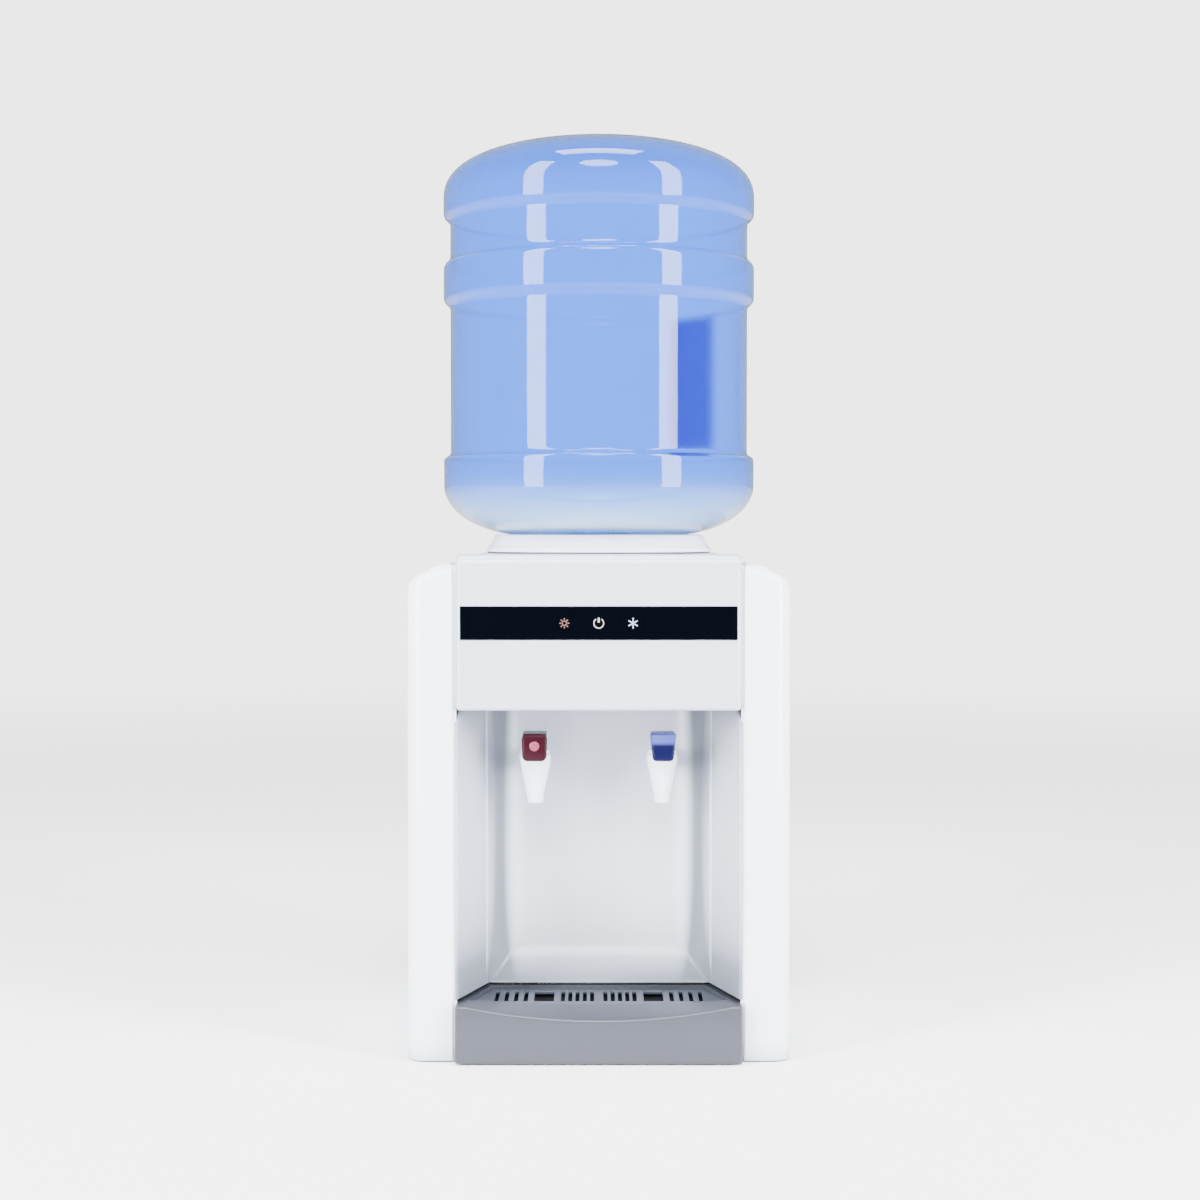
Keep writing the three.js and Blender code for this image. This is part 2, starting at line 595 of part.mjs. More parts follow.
function hotTank() {
  const inner = hotTankRadius - 1.2;
  const bottom = plateTop + gap;
  const shell = [[inner - 6, bottom], [hotTankRadius, bottom], [hotTankRadius, hotTankTop],
    [5, hotTankTop], [5, hotTankTop - 1.2], [inner, hotTankTop - 1.2], [inner, 17.2], [0, 17.2], [0, 16],
    [inner, 16], [inner, bottom + 1], [inner - 6, bottom + 1], [inner - 6, bottom]];
  const front = hotTankY - hotTankRadius;
  return [
    piece('hot_tank', turned(shell, hotTankX, hotTankY), steel),
    piece('heater_band', turned(ring(hotTankRadius + gap, hotTankRadius + 3, 36, 66), hotTankX, hotTankY),
      { color: 0x8a8478, roughness: 0.5, metalness: 0.8 }),
    piece('thermostat', bar('y', 8, front - 8, front - gap, hotTankX, 86, 16), blackPlastic),
  ];
}

function tubes() {
  const start = coldTankBottom - gap;
  const shankEnd = -20 + gap;
  const inlet = [hotTankX + 20, hotTankY + 10];
  const runs = {
    cold_feed_tube: [[32, coldTankY, start], [32, coldTankY, start - 5], [40, 18, start - 18],
      [tapX - 1, -2, tapShankHeight - 2], [tapX, -12, tapShankHeight], [tapX, shankEnd, tapShankHeight]],
    hot_feed_tube: [[hotTankX, hotTankY, hotTankTop + gap], [hotTankX, hotTankY, hotTankTop + 8],
      [-72, 40, 190],
      [1 - tapX, -2, tapShankHeight - 2], [-tapX, -12, tapShankHeight], [-tapX, shankEnd, tapShankHeight]],
    refill_tube: [[-24, coldTankY, start], [-24, coldTankY, start - 6], [-48, 72, 170],
      [...inlet, hotTankTop + 10], [...inlet, hotTankTop + gap]],
  };
  return Object.entries(runs).map(([name, points]) => piece(name, hose(points, 4, 14, 7), silicone));
}

function drain() {
  const front = hotTankY + hotTankRadius + gap;
  const spout = cut(bar('y', 7, front, 150, hotTankX, drainHeight),
    bar('y', 4.5, front - 1, 151, hotTankX, drainHeight, 16));
  const cap = cut(bar('y', 10, panelBack + gap, 154, hotTankX, drainHeight),
    bar('y', 7.3, panelBack - 1, 150.5, hotTankX, drainHeight));
  return [piece('drain_spout', spout, white), piece('drain_cap', cap, white)];
}

function refrigeration() {
  const can = [[0, 10], [compressorRadius - 5, 10], [compressorRadius, 20], [compressorRadius, 62],
    [compressorRadius + 2, 64], [compressorRadius + 2, 68], [compressorRadius, 70], [compressorRadius, 104],
    ...curve([compressorRadius - 22, 104], [22, 20], 0, Math.PI / 2, 4), [0, 124]];
  const base = block(compressorX - 55, compressorX + 55, compressorY - 30, compressorY + 30,
    plateTop + gap, 12);
  const compressor = join(turned(can, compressorX, compressorY, 28), base);
  const back = halfDepth - condenserTubeRadius;
  const pitch = (condenserTop - condenserBottom) / (condenserRuns - 1);
  const bars = [];
  for (let i = 0; i < condenserRuns; i += 1) {
    const z = condenserBottom + i * pitch;
    bars.push(bar('x', condenserTubeRadius, -condenserHalfWidth, condenserHalfWidth, back, z, 8));
    const x = (i % 2 ? -1 : 1) * (condenserHalfWidth - condenserTubeRadius);
    if (i < condenserRuns - 1) bars.push(bar('z', condenserTubeRadius, z, z + pitch, x, back, 8));
  }
  const brackets = [['condenser_bracket_lower', condenserBottom + 20],
    ['condenser_bracket_upper', condenserTop - 20]];
  return [
    piece('compressor', compressor, darkPaint),
    piece('condenser_grid', join(...bars), darkPaint),
    ...brackets.map(([name, z]) => piece(name, block(-100, 100, panelBack + gap,
      back - condenserTubeRadius - gap, z - 6, z + 6), darkPaint)),
  ];
}

// Rear rocker switch: frame with a pocket, and a rocker resting with its upper end pressed in.
function rockerSwitch(kind, x, color) {
  const z = 80;
  const face = panelBack + 2;
  const frame = join(block(x - 13, x + 13, panelBack + gap, face, z - 18, z + 18),
    block(x - 10, x + 10, panelBack - 15, panelBack + 1, z - 15, z + 15));
  const pocket = block(x - 7.5, x + 7.5, panelBack - 10, face + 1, z - 11.2, z + 11.2);
  const rocker = new THREE.ExtrudeGeometry(outline([[-3.5, -10], [0.5, -10.2], [2.6, -10], [1.2, 0],
    [2.6, 10],
    [0.5, 10.2], [-3.5, 10]]), { depth: 14.4, bevelEnabled: false });
  rocker.applyMatrix4(new THREE.Matrix4().makeBasis(axisY, axisZ, axisX)).translate(-7.2, 0, 0);
  rocker.rotateX(THREE.MathUtils.degToRad(7)).translate(x, face, z);
  return [piece(`${kind}_switch_frame`, cut(frame, pocket), blackPlastic),
    piece(`${kind}_switch`, solid(rocker), { color, roughness: 0.4, metalness: 0 })];
}

function powerInlet() {
  const body = join(block(72, 108, panelBack + gap, panelBack + 3, 17, 47),
    block(75, 105, panelBack - 16, panelBack + 1, 20, 44));
  const pocket = block(79, 101, panelBack - 13, panelBack + 4, 24, 40);
  return piece('power_inlet', cut(body, pocket), blackPlastic);
}

const model = new THREE.Group();
model.name = 'water_dispenser';
model.add(
  basePlate(), ...feet(), sidePanel('side_panel_left', -1), sidePanel('side_panel_right', 1), rearCover(),
  topCover(), fascia(), ...display(), nicheLiner(), dripTray(), trayGrille(), ...taps(), safetyButton(),
  bottleCollar(), feedProbe(), collarSeal(), bottle(), bottleCap(), ...coldTank(), ...hotTank(), ...tubes(),
  ...drain(), ...refrigeration(),
  ...rockerSwitch('heat', heatSwitchX, 0xb22a30), ...rockerSwitch('cool', coolSwitchX, 0x2a8a4a),
  powerInlet(),
);

export default model;
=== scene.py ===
import bmesh
import bpy
import json
import math
import numpy as np
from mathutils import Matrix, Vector


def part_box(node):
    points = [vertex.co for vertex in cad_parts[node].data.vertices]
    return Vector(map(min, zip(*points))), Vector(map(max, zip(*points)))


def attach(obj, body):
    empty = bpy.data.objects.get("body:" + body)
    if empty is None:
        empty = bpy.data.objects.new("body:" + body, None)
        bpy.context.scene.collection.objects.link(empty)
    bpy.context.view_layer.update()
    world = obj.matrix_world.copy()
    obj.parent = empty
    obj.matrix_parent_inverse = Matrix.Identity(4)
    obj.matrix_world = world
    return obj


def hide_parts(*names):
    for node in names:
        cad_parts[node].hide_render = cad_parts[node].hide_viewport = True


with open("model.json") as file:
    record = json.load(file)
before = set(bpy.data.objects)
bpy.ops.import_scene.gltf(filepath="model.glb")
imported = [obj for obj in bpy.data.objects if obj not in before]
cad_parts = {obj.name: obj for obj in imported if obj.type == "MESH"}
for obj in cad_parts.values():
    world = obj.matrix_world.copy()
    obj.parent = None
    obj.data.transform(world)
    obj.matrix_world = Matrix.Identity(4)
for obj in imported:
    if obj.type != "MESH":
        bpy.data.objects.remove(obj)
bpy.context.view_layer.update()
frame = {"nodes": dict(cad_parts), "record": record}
bodyOf = {node: body for body, nodes in frame["record"]["behaviour"]["bodies"].items() for node in nodes}
slotOf = {part["node"]: part["material_slot"] for part in frame["record"]["subparts"]}
mm = 0.001
materials = {}
print("frame loaded:", len(frame["nodes"]), "nodes")


def edges(node):
    # x0, x1, y0, y1, z0, z1 of a CAD node, in metres
    low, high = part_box(node)
    return low[0], high[0], low[1], high[1], low[2], high[2]


def edgesInMm(node):
    return np.array(edges(node)) / mm


# camera, lights and floor
studio = {
    "distance": 1.8,  # lens to the body's middle
    "across": 0.001,
    "height": 0.43,
    "focal": 61.8,
    "tilt": 1.95,  # degrees below level
    "strip": (2.1, 0.56, 4.2),  # distance, width and height of the two tall side lamps
    "stripAngles": (-47, 53),
    "stripHeight": (0.75, 0.55),  # of the lamps' middle, and of the point that they face
    "stripPower": 300,
    "topLamp": ((0, -0.1, 2.2), (0, 0, 0.5), (0.9, 0.5)),  # place, aim, width and length
    "top": 40,
    "key": 4.7,
    "keyHeight": 42,  # degrees above the horizon, from the front
    "keySoftness": 24,
    "sideLamp": ((2.4, -0.5, 1.0), (0, 0, 0.3), (1.2, 1.8)),
    "side": 70,
    "world": 0.6,
    "backdrop": 3.8,
    "ground": 14,  # half the floor's width
    "fadeFrom": (0.5, 4.5),  # ground distances between which it fades into the backdrop
}


def areaLamp(name, place, aim, size, power, glossy=True):
    data = bpy.data.lights.new(name, "AREA")
    data.shape = "RECTANGLE"
    data.size, data.size_y = size
    data.energy = power
    lamp = bpy.data.objects.new(name, data)
    lamp.visible_glossy = glossy
    lamp.visible_transmission = False  # not seen through the bottle
    lamp.location = place
    lamp.rotation_euler = (Vector(aim) - Vector(place)).to_track_quat("-Z", "Y").to_euler()
    bpy.context.scene.collection.objects.link(lamp)


def studioSetup():
    scene = bpy.context.scene
    data = bpy.data.cameras.new("camera")
    data.lens = studio["focal"]
    data.sensor_width = 36
    camera = bpy.data.objects.new("camera", data)
    camera.location = (studio["across"], -studio["distance"], studio["height"])
    camera.rotation_euler = (math.radians(90 - studio["tilt"]), 0, 0)
    scene.collection.objects.link(camera)
    scene.camera = camera
    reach, width, tall = studio["strip"]
    height, aimHeight = studio["stripHeight"]
    for side, degrees in zip(("left", "right"), studio["stripAngles"]):
        turn = math.radians(degrees)
        place = (reach * math.sin(turn), -reach * math.cos(turn), height)
        areaLamp("strip_" + side, place, (0, 0, aimHeight), (width, tall), studio["stripPower"])
    areaLamp("top_lamp", *studio["topLamp"], studio["top"])
    data = bpy.data.lights.new("key_lamp", "SUN")
    data.energy = studio["key"]
    data.angle = math.radians(studio["keySoftness"])
    lamp = bpy.data.objects.new("key_lamp", data)
    lamp.rotation_euler = (math.radians(90 - studio["keyHeight"]), 0, 0)
    scene.collection.objects.link(lamp)
    (across, along, height), aim, size = studio["sideLamp"]
    for side in (-1, 1):
        areaLamp("side_lamp", (side * across, along, height), aim, size, studio["side"], glossy=False)
    world = bpy.data.worlds.new("world")
    world.use_nodes = True
    nodes, links = world.node_tree.nodes, world.node_tree.links
    back = nodes["Background"]
    back.inputs["Color"].default_value = (1, 1, 1, 1)
    lift = mathNode(nodes, links, "MULTIPLY", seenRays(nodes, links), studio["backdrop"] - studio["world"])
    links.new(mathNode(nodes, links, "ADD", lift, studio["world"]), back.inputs["Strength"])
    scene.world = world
    spread = np.linspace(-studio["ground"], studio["ground"], 3)
    points = np.stack(np.meshgrid(spread, spread, [0.0], indexing="ij"), -1)[:, :, 0]
    floor = objectFrom("floor", gridMesh("floor", points))
    floor.data.materials.append(materials["floor"])


# mesh helpers
def gridFaces(rows, cols, wrapRows=False, wrapCols=False, start=0):
    # each cell between neighbouring rows and columns of the grid is one quad
    index = start + np.arange(rows * cols).reshape(rows, cols)
    if wrapRows:
        index = np.vstack([index, index[:1]])
    if wrapCols:
        index = np.hstack([index, index[:, :1]])
    return np.stack([index[:-1, :-1], index[:-1, 1:], index[1:, 1:], index[1:, :-1]], axis=-1)


def atHeight(plan, height):
    # plan points (n, 2) with one height for all, or one each
    return np.column_stack([plan, np.broadcast_to(height, len(plan))])


def block(points):
    # grid whose rows are closed loops, with its first and last row filled in
    return dict(points=points, wrapCols=True, caps=True)


def gridMesh(name, points, wrapRows=False, wrapCols=False, caps=False, keep=None, closed=False):
    # points is (rows, columns, 3) in metres; keep drops cells; caps closes the first and last row
    grid = dict(points=points, wrapRows=wrapRows, wrapCols=wrapCols, caps=caps, keep=keep)
    return joinedMesh(name, [grid], closed)


sharpAngle = 38  # degrees between two faces, above which their edge stays sharp


def joinedMesh(name, grids, closed=True):
    # several grids in one mesh; on closed ones the normals are worked out again
    places, faces, start = [], [], 0
    for grid in grids:
        points = grid["points"]
        rows, cols = points.shape[:2]
        quads = gridFaces(rows, cols, grid.get("wrapRows"), grid.get("wrapCols"), start)
        if grid.get("keep") is not None:
            quads = quads[grid["keep"]]
        faces += quads.reshape(-1, 4).tolist()
        if grid.get("caps"):
            faces.append((start + np.arange(cols))[::-1].tolist())
            faces.append((start + (rows - 1) * cols + np.arange(cols)).tolist())
        places.append(points.reshape(-1, 3))
        start += rows * cols
    mesh = bpy.data.meshes.new(name)
    mesh.from_pydata(np.concatenate(places).tolist(), [], faces)
    tidyMesh(mesh, closed)
    return mesh


def tidyMesh(mesh, closed):
    # welds close points, drops collapsed faces and loose points, and shades smooth between its edges
    work = bmesh.new()
    work.from_mesh(mesh)
    bmesh.ops.remove_doubles(work, verts=work.verts, dist=2e-6)
    bmesh.ops.dissolve_degenerate(work, edges=work.edges, dist=1e-6)
    if closed:
        bmesh.ops.recalc_face_normals(work, faces=work.faces)
    loose = [vert for vert in work.verts if not vert.link_faces]
    bmesh.ops.delete(work, geom=loose, context="VERTS")
    work.to_mesh(mesh)
    work.free()
    mesh.shade_smooth()
    mesh.set_sharp_from_angle(angle=math.radians(sharpAngle))


def objectFrom(name, mesh):
    made = bpy.data.objects.new(name, mesh)
    bpy.context.scene.collection.objects.link(made)
    return made


def bevelled(piece, width, segments=3, angle=35):
    bevel = piece.modifiers.new("bevel", "BEVEL")
    bevel.width = width
    bevel.segments = segments
    bevel.limit_method = "ANGLE"
    bevel.angle_limit = math.radians(angle)
    bevel.harden_normals = True


def thickened(piece, thickness):
    solid = piece.modifiers.new("wall", "SOLIDIFY")
    solid.thickness = thickness
    solid.offset = -1


def standFor(piece, material, *nodes):
    # material, body and the CAD nodes that the piece stands for
    piece.data.materials.clear()
    piece.data.materials.append(materials[material])
    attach(piece, bodyOf[nodes[0]])
    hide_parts(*nodes)


def addTo(piece, material, node):
    # an extra piece on the body of a CAD node, which keeps its own stand-in
    piece.data.materials.append(materials[material])
    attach(piece, bodyOf[node])


def vertexPlaces(mesh):
    places = np.empty(len(mesh.vertices) * 3)
    mesh.vertices.foreach_get("co", places)
    return places.reshape(-1, 3).T


def addMask(mesh, name, values):
    mesh.attributes.new(name, "FLOAT", "POINT").data.foreach_set("value", values.astype(np.float32))


def arc(centre, radius, start, end, count=8):
    # points on a circle, or an ellipse where radius is a pair, from angle start to end in degrees
    turn = np.radians(np.linspace(start, end, count))
    wide, tall = np.broadcast_to(radius, 2)
    return np.stack([centre[0] + wide * np.cos(turn), centre[1] + tall * np.sin(turn)], -1)


def filleted(corners, closed=False, steps=6):
    # outline through corners (u, v, radius); each radius becomes an arc tangent to both its sides
    data = np.array(corners, float)
    count = len(data)
    parts = []
    for i in range(count):
        here, radius = data[i, :2], data[i, 2]
        if radius == 0 or (not closed and i in (0, count - 1)):
            parts.append(here[None])
            continue
        before = data[i - 1, :2] - here
        after = data[(i + 1) % count, :2] - here
        before, after = before / np.linalg.norm(before), after / np.linalg.norm(after)
        half = math.acos(np.clip(before @ after, -1, 1)) / 2
        middle = here + (before + after) / np.linalg.norm(before + after) * radius / math.sin(half)
        reach = radius / math.tan(half)
        first, last = here + before * reach - middle, here + after * reach - middle
        turn = math.acos(np.clip(first @ last / radius ** 2, -1, 1))
        share = np.linspace(0, 1, steps)[:, None]
        swing = np.sin((1 - share) * turn) * first + np.sin(share * turn) * last
        parts.append(middle + swing / math.sin(turn))
    return np.concatenate(parts)


def turnedGrid(profile, x, y, sides=96, axis="z"):
    # each profile point (radius, height) goes round an axis through x, y
    turn = np.linspace(0, 2 * math.pi, sides, endpoint=False)[:, None]
    across = profile[None, :, 0] * np.cos(turn)
    aside = profile[None, :, 0] * np.sin(turn)
    along = np.broadcast_to(profile[None, :, 1], across.shape)
    if axis == "z":
        return np.stack([x + across, y + aside, along], -1)
    return np.stack([x + across, along, y + aside], -1)  # axis along y: y is then the height


def tubeGrid(path, radius, sides=10):
    # a circle carried along path; its frame is turned step by step so that it never twists
    path = np.asarray(path, float)
    tangent = np.gradient(path, axis=0)
    tangent /= np.linalg.norm(tangent, axis=1)[:, None]
    side = np.cross(tangent[0], (0.31, 0.17, 0.93))
    sidesAlong = []
    for direction in tangent:
        side = side - direction * (side @ direction)
        side = side / np.linalg.norm(side)
        sidesAlong.append(side)
    right = np.array(sidesAlong)
    up = np.cross(tangent, right)
    turn = np.linspace(0, 2 * math.pi, sides, endpoint=False)
    ring = right[:, None] * np.cos(turn)[None, :, None] + up[:, None] * np.sin(turn)[None, :, None]
    return path[:, None] + ring * radius


def roundedLoop(halfWidth, halfDepth, radius, steps=5):
    # closed rounded rectangle about 0, 0, counterclockwise
    radius = min(radius, halfWidth * 0.99, halfDepth * 0.99)
    corners = [(u * halfWidth, v * halfDepth, radius) for u, v in ((1, -1), (1, 1), (-1, 1), (-1, -1))]
    return filleted(corners, closed=True, steps=steps)


def softened(node, width, material):
    # welded copy of a CAD node with flat faces dissolved and its edges rounded
    mesh = frame["nodes"][node].data.copy()
    work = bmesh.new()
    work.from_mesh(mesh)
    bmesh.ops.remove_doubles(work, verts=work.verts, dist=1e-6)
    bmesh.ops.dissolve_limit(work, angle_limit=math.radians(1.5), verts=work.verts, edges=work.edges)
    work.to_mesh(mesh)
    work.free()
    mesh.shade_smooth()
    mesh.set_sharp_from_angle(angle=math.radians(30))
    piece = objectFrom("fine_" + node, mesh)
    bevelled(piece, width, 3, 30)
    standFor(piece, material, node)


# shader groups
def newGroup(name, inputs, outputs):
    group = bpy.data.node_groups.new(name, "ShaderNodeTree")
    for label, kind, value in inputs:
        socket = group.interface.new_socket(label, in_out="INPUT", socket_type=kind)
        socket.default_value = value
    for label, kind in outputs:
        group.interface.new_socket(label, in_out="OUTPUT", socket_type=kind)
    nodes, links = group.nodes, group.links
    return group, nodes, links, nodes.new("NodeGroupInput"), nodes.new("NodeGroupOutput")


def mathNode(nodes, links, kind, first, second):
    node = nodes.new("ShaderNodeMath")
    node.operation = kind
    for socket, value in zip(node.inputs, (first, second)):
        if isinstance(value, (int, float)):
            socket.default_value = value
        else:
            links.new(value, socket)
    return node.outputs[0]


def seenRays(nodes, links):
    # 1 for rays that start at the lens or have come through the bottle
    path = nodes.new("ShaderNodeLightPath")
    direct, through = path.outputs["Is Camera Ray"], path.outputs["Is Transmission Ray"]
    return mathNode(nodes, links, "MAXIMUM", direct, through)


def finishGroup():
    # blotches shift the colour, fine grain lifts the surface, and both change the roughness
    group, nodes, links, given, out = newGroup("finish", [
        ("Color", "NodeSocketColor", (1, 1, 1, 1)), ("Shade", "NodeSocketColor", (0.8, 0.8, 0.8, 1)),
        ("Blotch", "NodeSocketFloat", 12.0), ("Grain", "NodeSocketFloat", 900.0),
        ("Stretch", "NodeSocketVector", (1, 1, 1)), ("Roughness", "NodeSocketFloat", 0.3),
        ("Spread", "NodeSocketFloat", 0.1)],
        [("Color", "NodeSocketColor"), ("Roughness", "NodeSocketFloat"), ("Height", "NodeSocketFloat")])
    place = nodes.new("ShaderNodeTexCoord")
    scaled = nodes.new("ShaderNodeVectorMath")
    scaled.operation = "MULTIPLY"
    links.new(place.outputs["Object"], scaled.inputs[0])
    links.new(given.outputs["Stretch"], scaled.inputs[1])
    blotch = nodes.new("ShaderNodeTexNoise")
    blotch.inputs["Detail"].default_value = 3
    links.new(place.outputs["Object"], blotch.inputs["Vector"])
    links.new(given.outputs["Blotch"], blotch.inputs["Scale"])
    grain = nodes.new("ShaderNodeTexNoise")
    grain.inputs["Detail"].default_value = 2
    links.new(scaled.outputs[0], grain.inputs["Vector"])
    links.new(given.outputs["Grain"], grain.inputs["Scale"])
    mix = nodes.new("ShaderNodeMix")
    mix.data_type = "RGBA"
    links.new(blotch.outputs["Fac"], mix.inputs["Factor"])
    links.new(given.outputs["Color"], mix.inputs["A"])
    links.new(given.outputs["Shade"], mix.inputs["B"])
    both = mathNode(nodes, links, "ADD", blotch.outputs["Fac"], grain.outputs["Fac"])
    around = mathNode(nodes, links, "SUBTRACT", both, 1.0)
    spread = mathNode(nodes, links, "MULTIPLY", around, given.outputs["Spread"])
    rough = mathNode(nodes, links, "ADD", given.outputs["Roughness"], spread)
    links.new(mix.outputs["Result"], out.inputs["Color"])
    links.new(rough, out.inputs["Roughness"])
    links.new(grain.outputs["Fac"], out.inputs["Height"])
    return group


def makeMaterial(name, color, shade, roughness, spread=0.08, metallic=0.0, coat=0.0, blotch=9.0,
                 grain=700.0, stretch=(1, 1, 1), bump=0.03, depth=0.0002, transmission=0.0, ior=1.5,
                 glow=0.0):
    made = bpy.data.materials.new(name)
    made.use_nodes = True
    nodes, links = made.node_tree.nodes, made.node_tree.links
    shader = nodes["Principled BSDF"]
    effect = nodes.new("ShaderNodeGroup")
    effect.node_tree = bpy.data.node_groups["finish"]
    for label, value in (("Color", (*color, 1)), ("Shade", (*shade, 1)), ("Blotch", blotch), ("Grain", grain),
                         ("Stretch", stretch), ("Roughness", roughness), ("Spread", spread)):
        effect.inputs[label].default_value = value
    links.new(effect.outputs["Color"], shader.inputs["Base Color"])
    links.new(effect.outputs["Roughness"], shader.inputs["Roughness"])
    raised = nodes.new("ShaderNodeBump")
    raised.inputs["Strength"].default_value = bump
    raised.inputs["Distance"].default_value = depth
    links.new(effect.outputs["Height"], raised.inputs["Height"])
    links.new(raised.outputs["Normal"], shader.inputs["Normal"])
    for label, value in (("Metallic", metallic), ("Coat Weight", coat), ("Coat Roughness", 0.06), ("IOR", ior),
                         ("Transmission Weight", transmission)):
        shader.inputs[label].default_value = value
    if glow:
        links.new(effect.outputs["Color"], shader.inputs["Emission Color"])
        shader.inputs["Emission Strength"].default_value = glow
    materials[name] = made
    return nodes, links, shader


def mixInto(parts, factor, color):
    # base colour times (1 - factor) plus the other colour times factor
    nodes, links, shader = parts
    mix = nodes.new("ShaderNodeMix")
    mix.data_type = "RGBA"
    links.new(factor, mix.inputs["Factor"])
    links.new(shader.inputs["Base Color"].links[0].from_socket, mix.inputs["A"])
    mix.inputs["B"].default_value = (*color, 1)
    links.new(mix.outputs["Result"], shader.inputs["Base Color"])


def tintBy(parts, attribute, color):
    # mixes in another colour where the mesh's own attribute is high
    mask = parts[0].new("ShaderNodeAttribute")
    mask.attribute_name = attribute
    mixInto(parts, mask.outputs["Fac"], color)


def rangeNode(nodes, links, value, low, high, kind="LINEAR"):
    # (value - low) / (high - low), kept between 0 and 1
    ramp = nodes.new("ShaderNodeMapRange")
    ramp.interpolation_type = kind
    ramp.inputs["From Min"].default_value = low
    ramp.inputs["From Max"].default_value = high
    links.new(value, ramp.inputs["Value"])
    return ramp.outputs["Result"]


def paintHighlightAbove(parts, low, high, color):
    # painted highlight: mixes in a lighter colour over a height: (height - low) / (high - low)
    nodes, links = parts[:2]
    place = nodes.new("ShaderNodeTexCoord")
    split = nodes.new("ShaderNodeSeparateXYZ")
    links.new(place.outputs["Object"], split.inputs[0])
    mixInto(parts, rangeNode(nodes, links, split.outputs["Z"], low, high), color)


def paintEdgeShade(parts, color):
    # painted shade at the rims: where the wall is seen edge on, light crosses more of the tinted wall and
    # refraction darkens it, so the colour darkens by facing to the third power
    nodes, links = parts[:2]
    facing = nodes.new("ShaderNodeLayerWeight")
    facing.inputs["Blend"].default_value = 0.5
    mixInto(parts, mathNode(nodes, links, "POWER", facing.outputs["Facing"], 3.0), color)


def fadeFar(parts):
    # far ground takes the backdrop's own brightness: (distance - near) / (far - near), seen rays only
    nodes, links, shader = parts
    place = nodes.new("ShaderNodeTexCoord")
    away = nodes.new("ShaderNodeVectorMath")
    away.operation = "LENGTH"
    links.new(place.outputs["Object"], away.inputs[0])
    far = rangeNode(nodes, links, away.outputs["Value"], *studio["fadeFrom"], kind="SMOOTHSTEP")
    share = mathNode(nodes, links, "MULTIPLY", seenRays(nodes, links), far)
    mixInto(parts, share, (0, 0, 0))
    shader.inputs["Emission Color"].default_value = (1, 1, 1, 1)
    glow = mathNode(nodes, links, "MULTIPLY", share, studio["backdrop"])
    links.new(glow, shader.inputs["Emission Strength"])


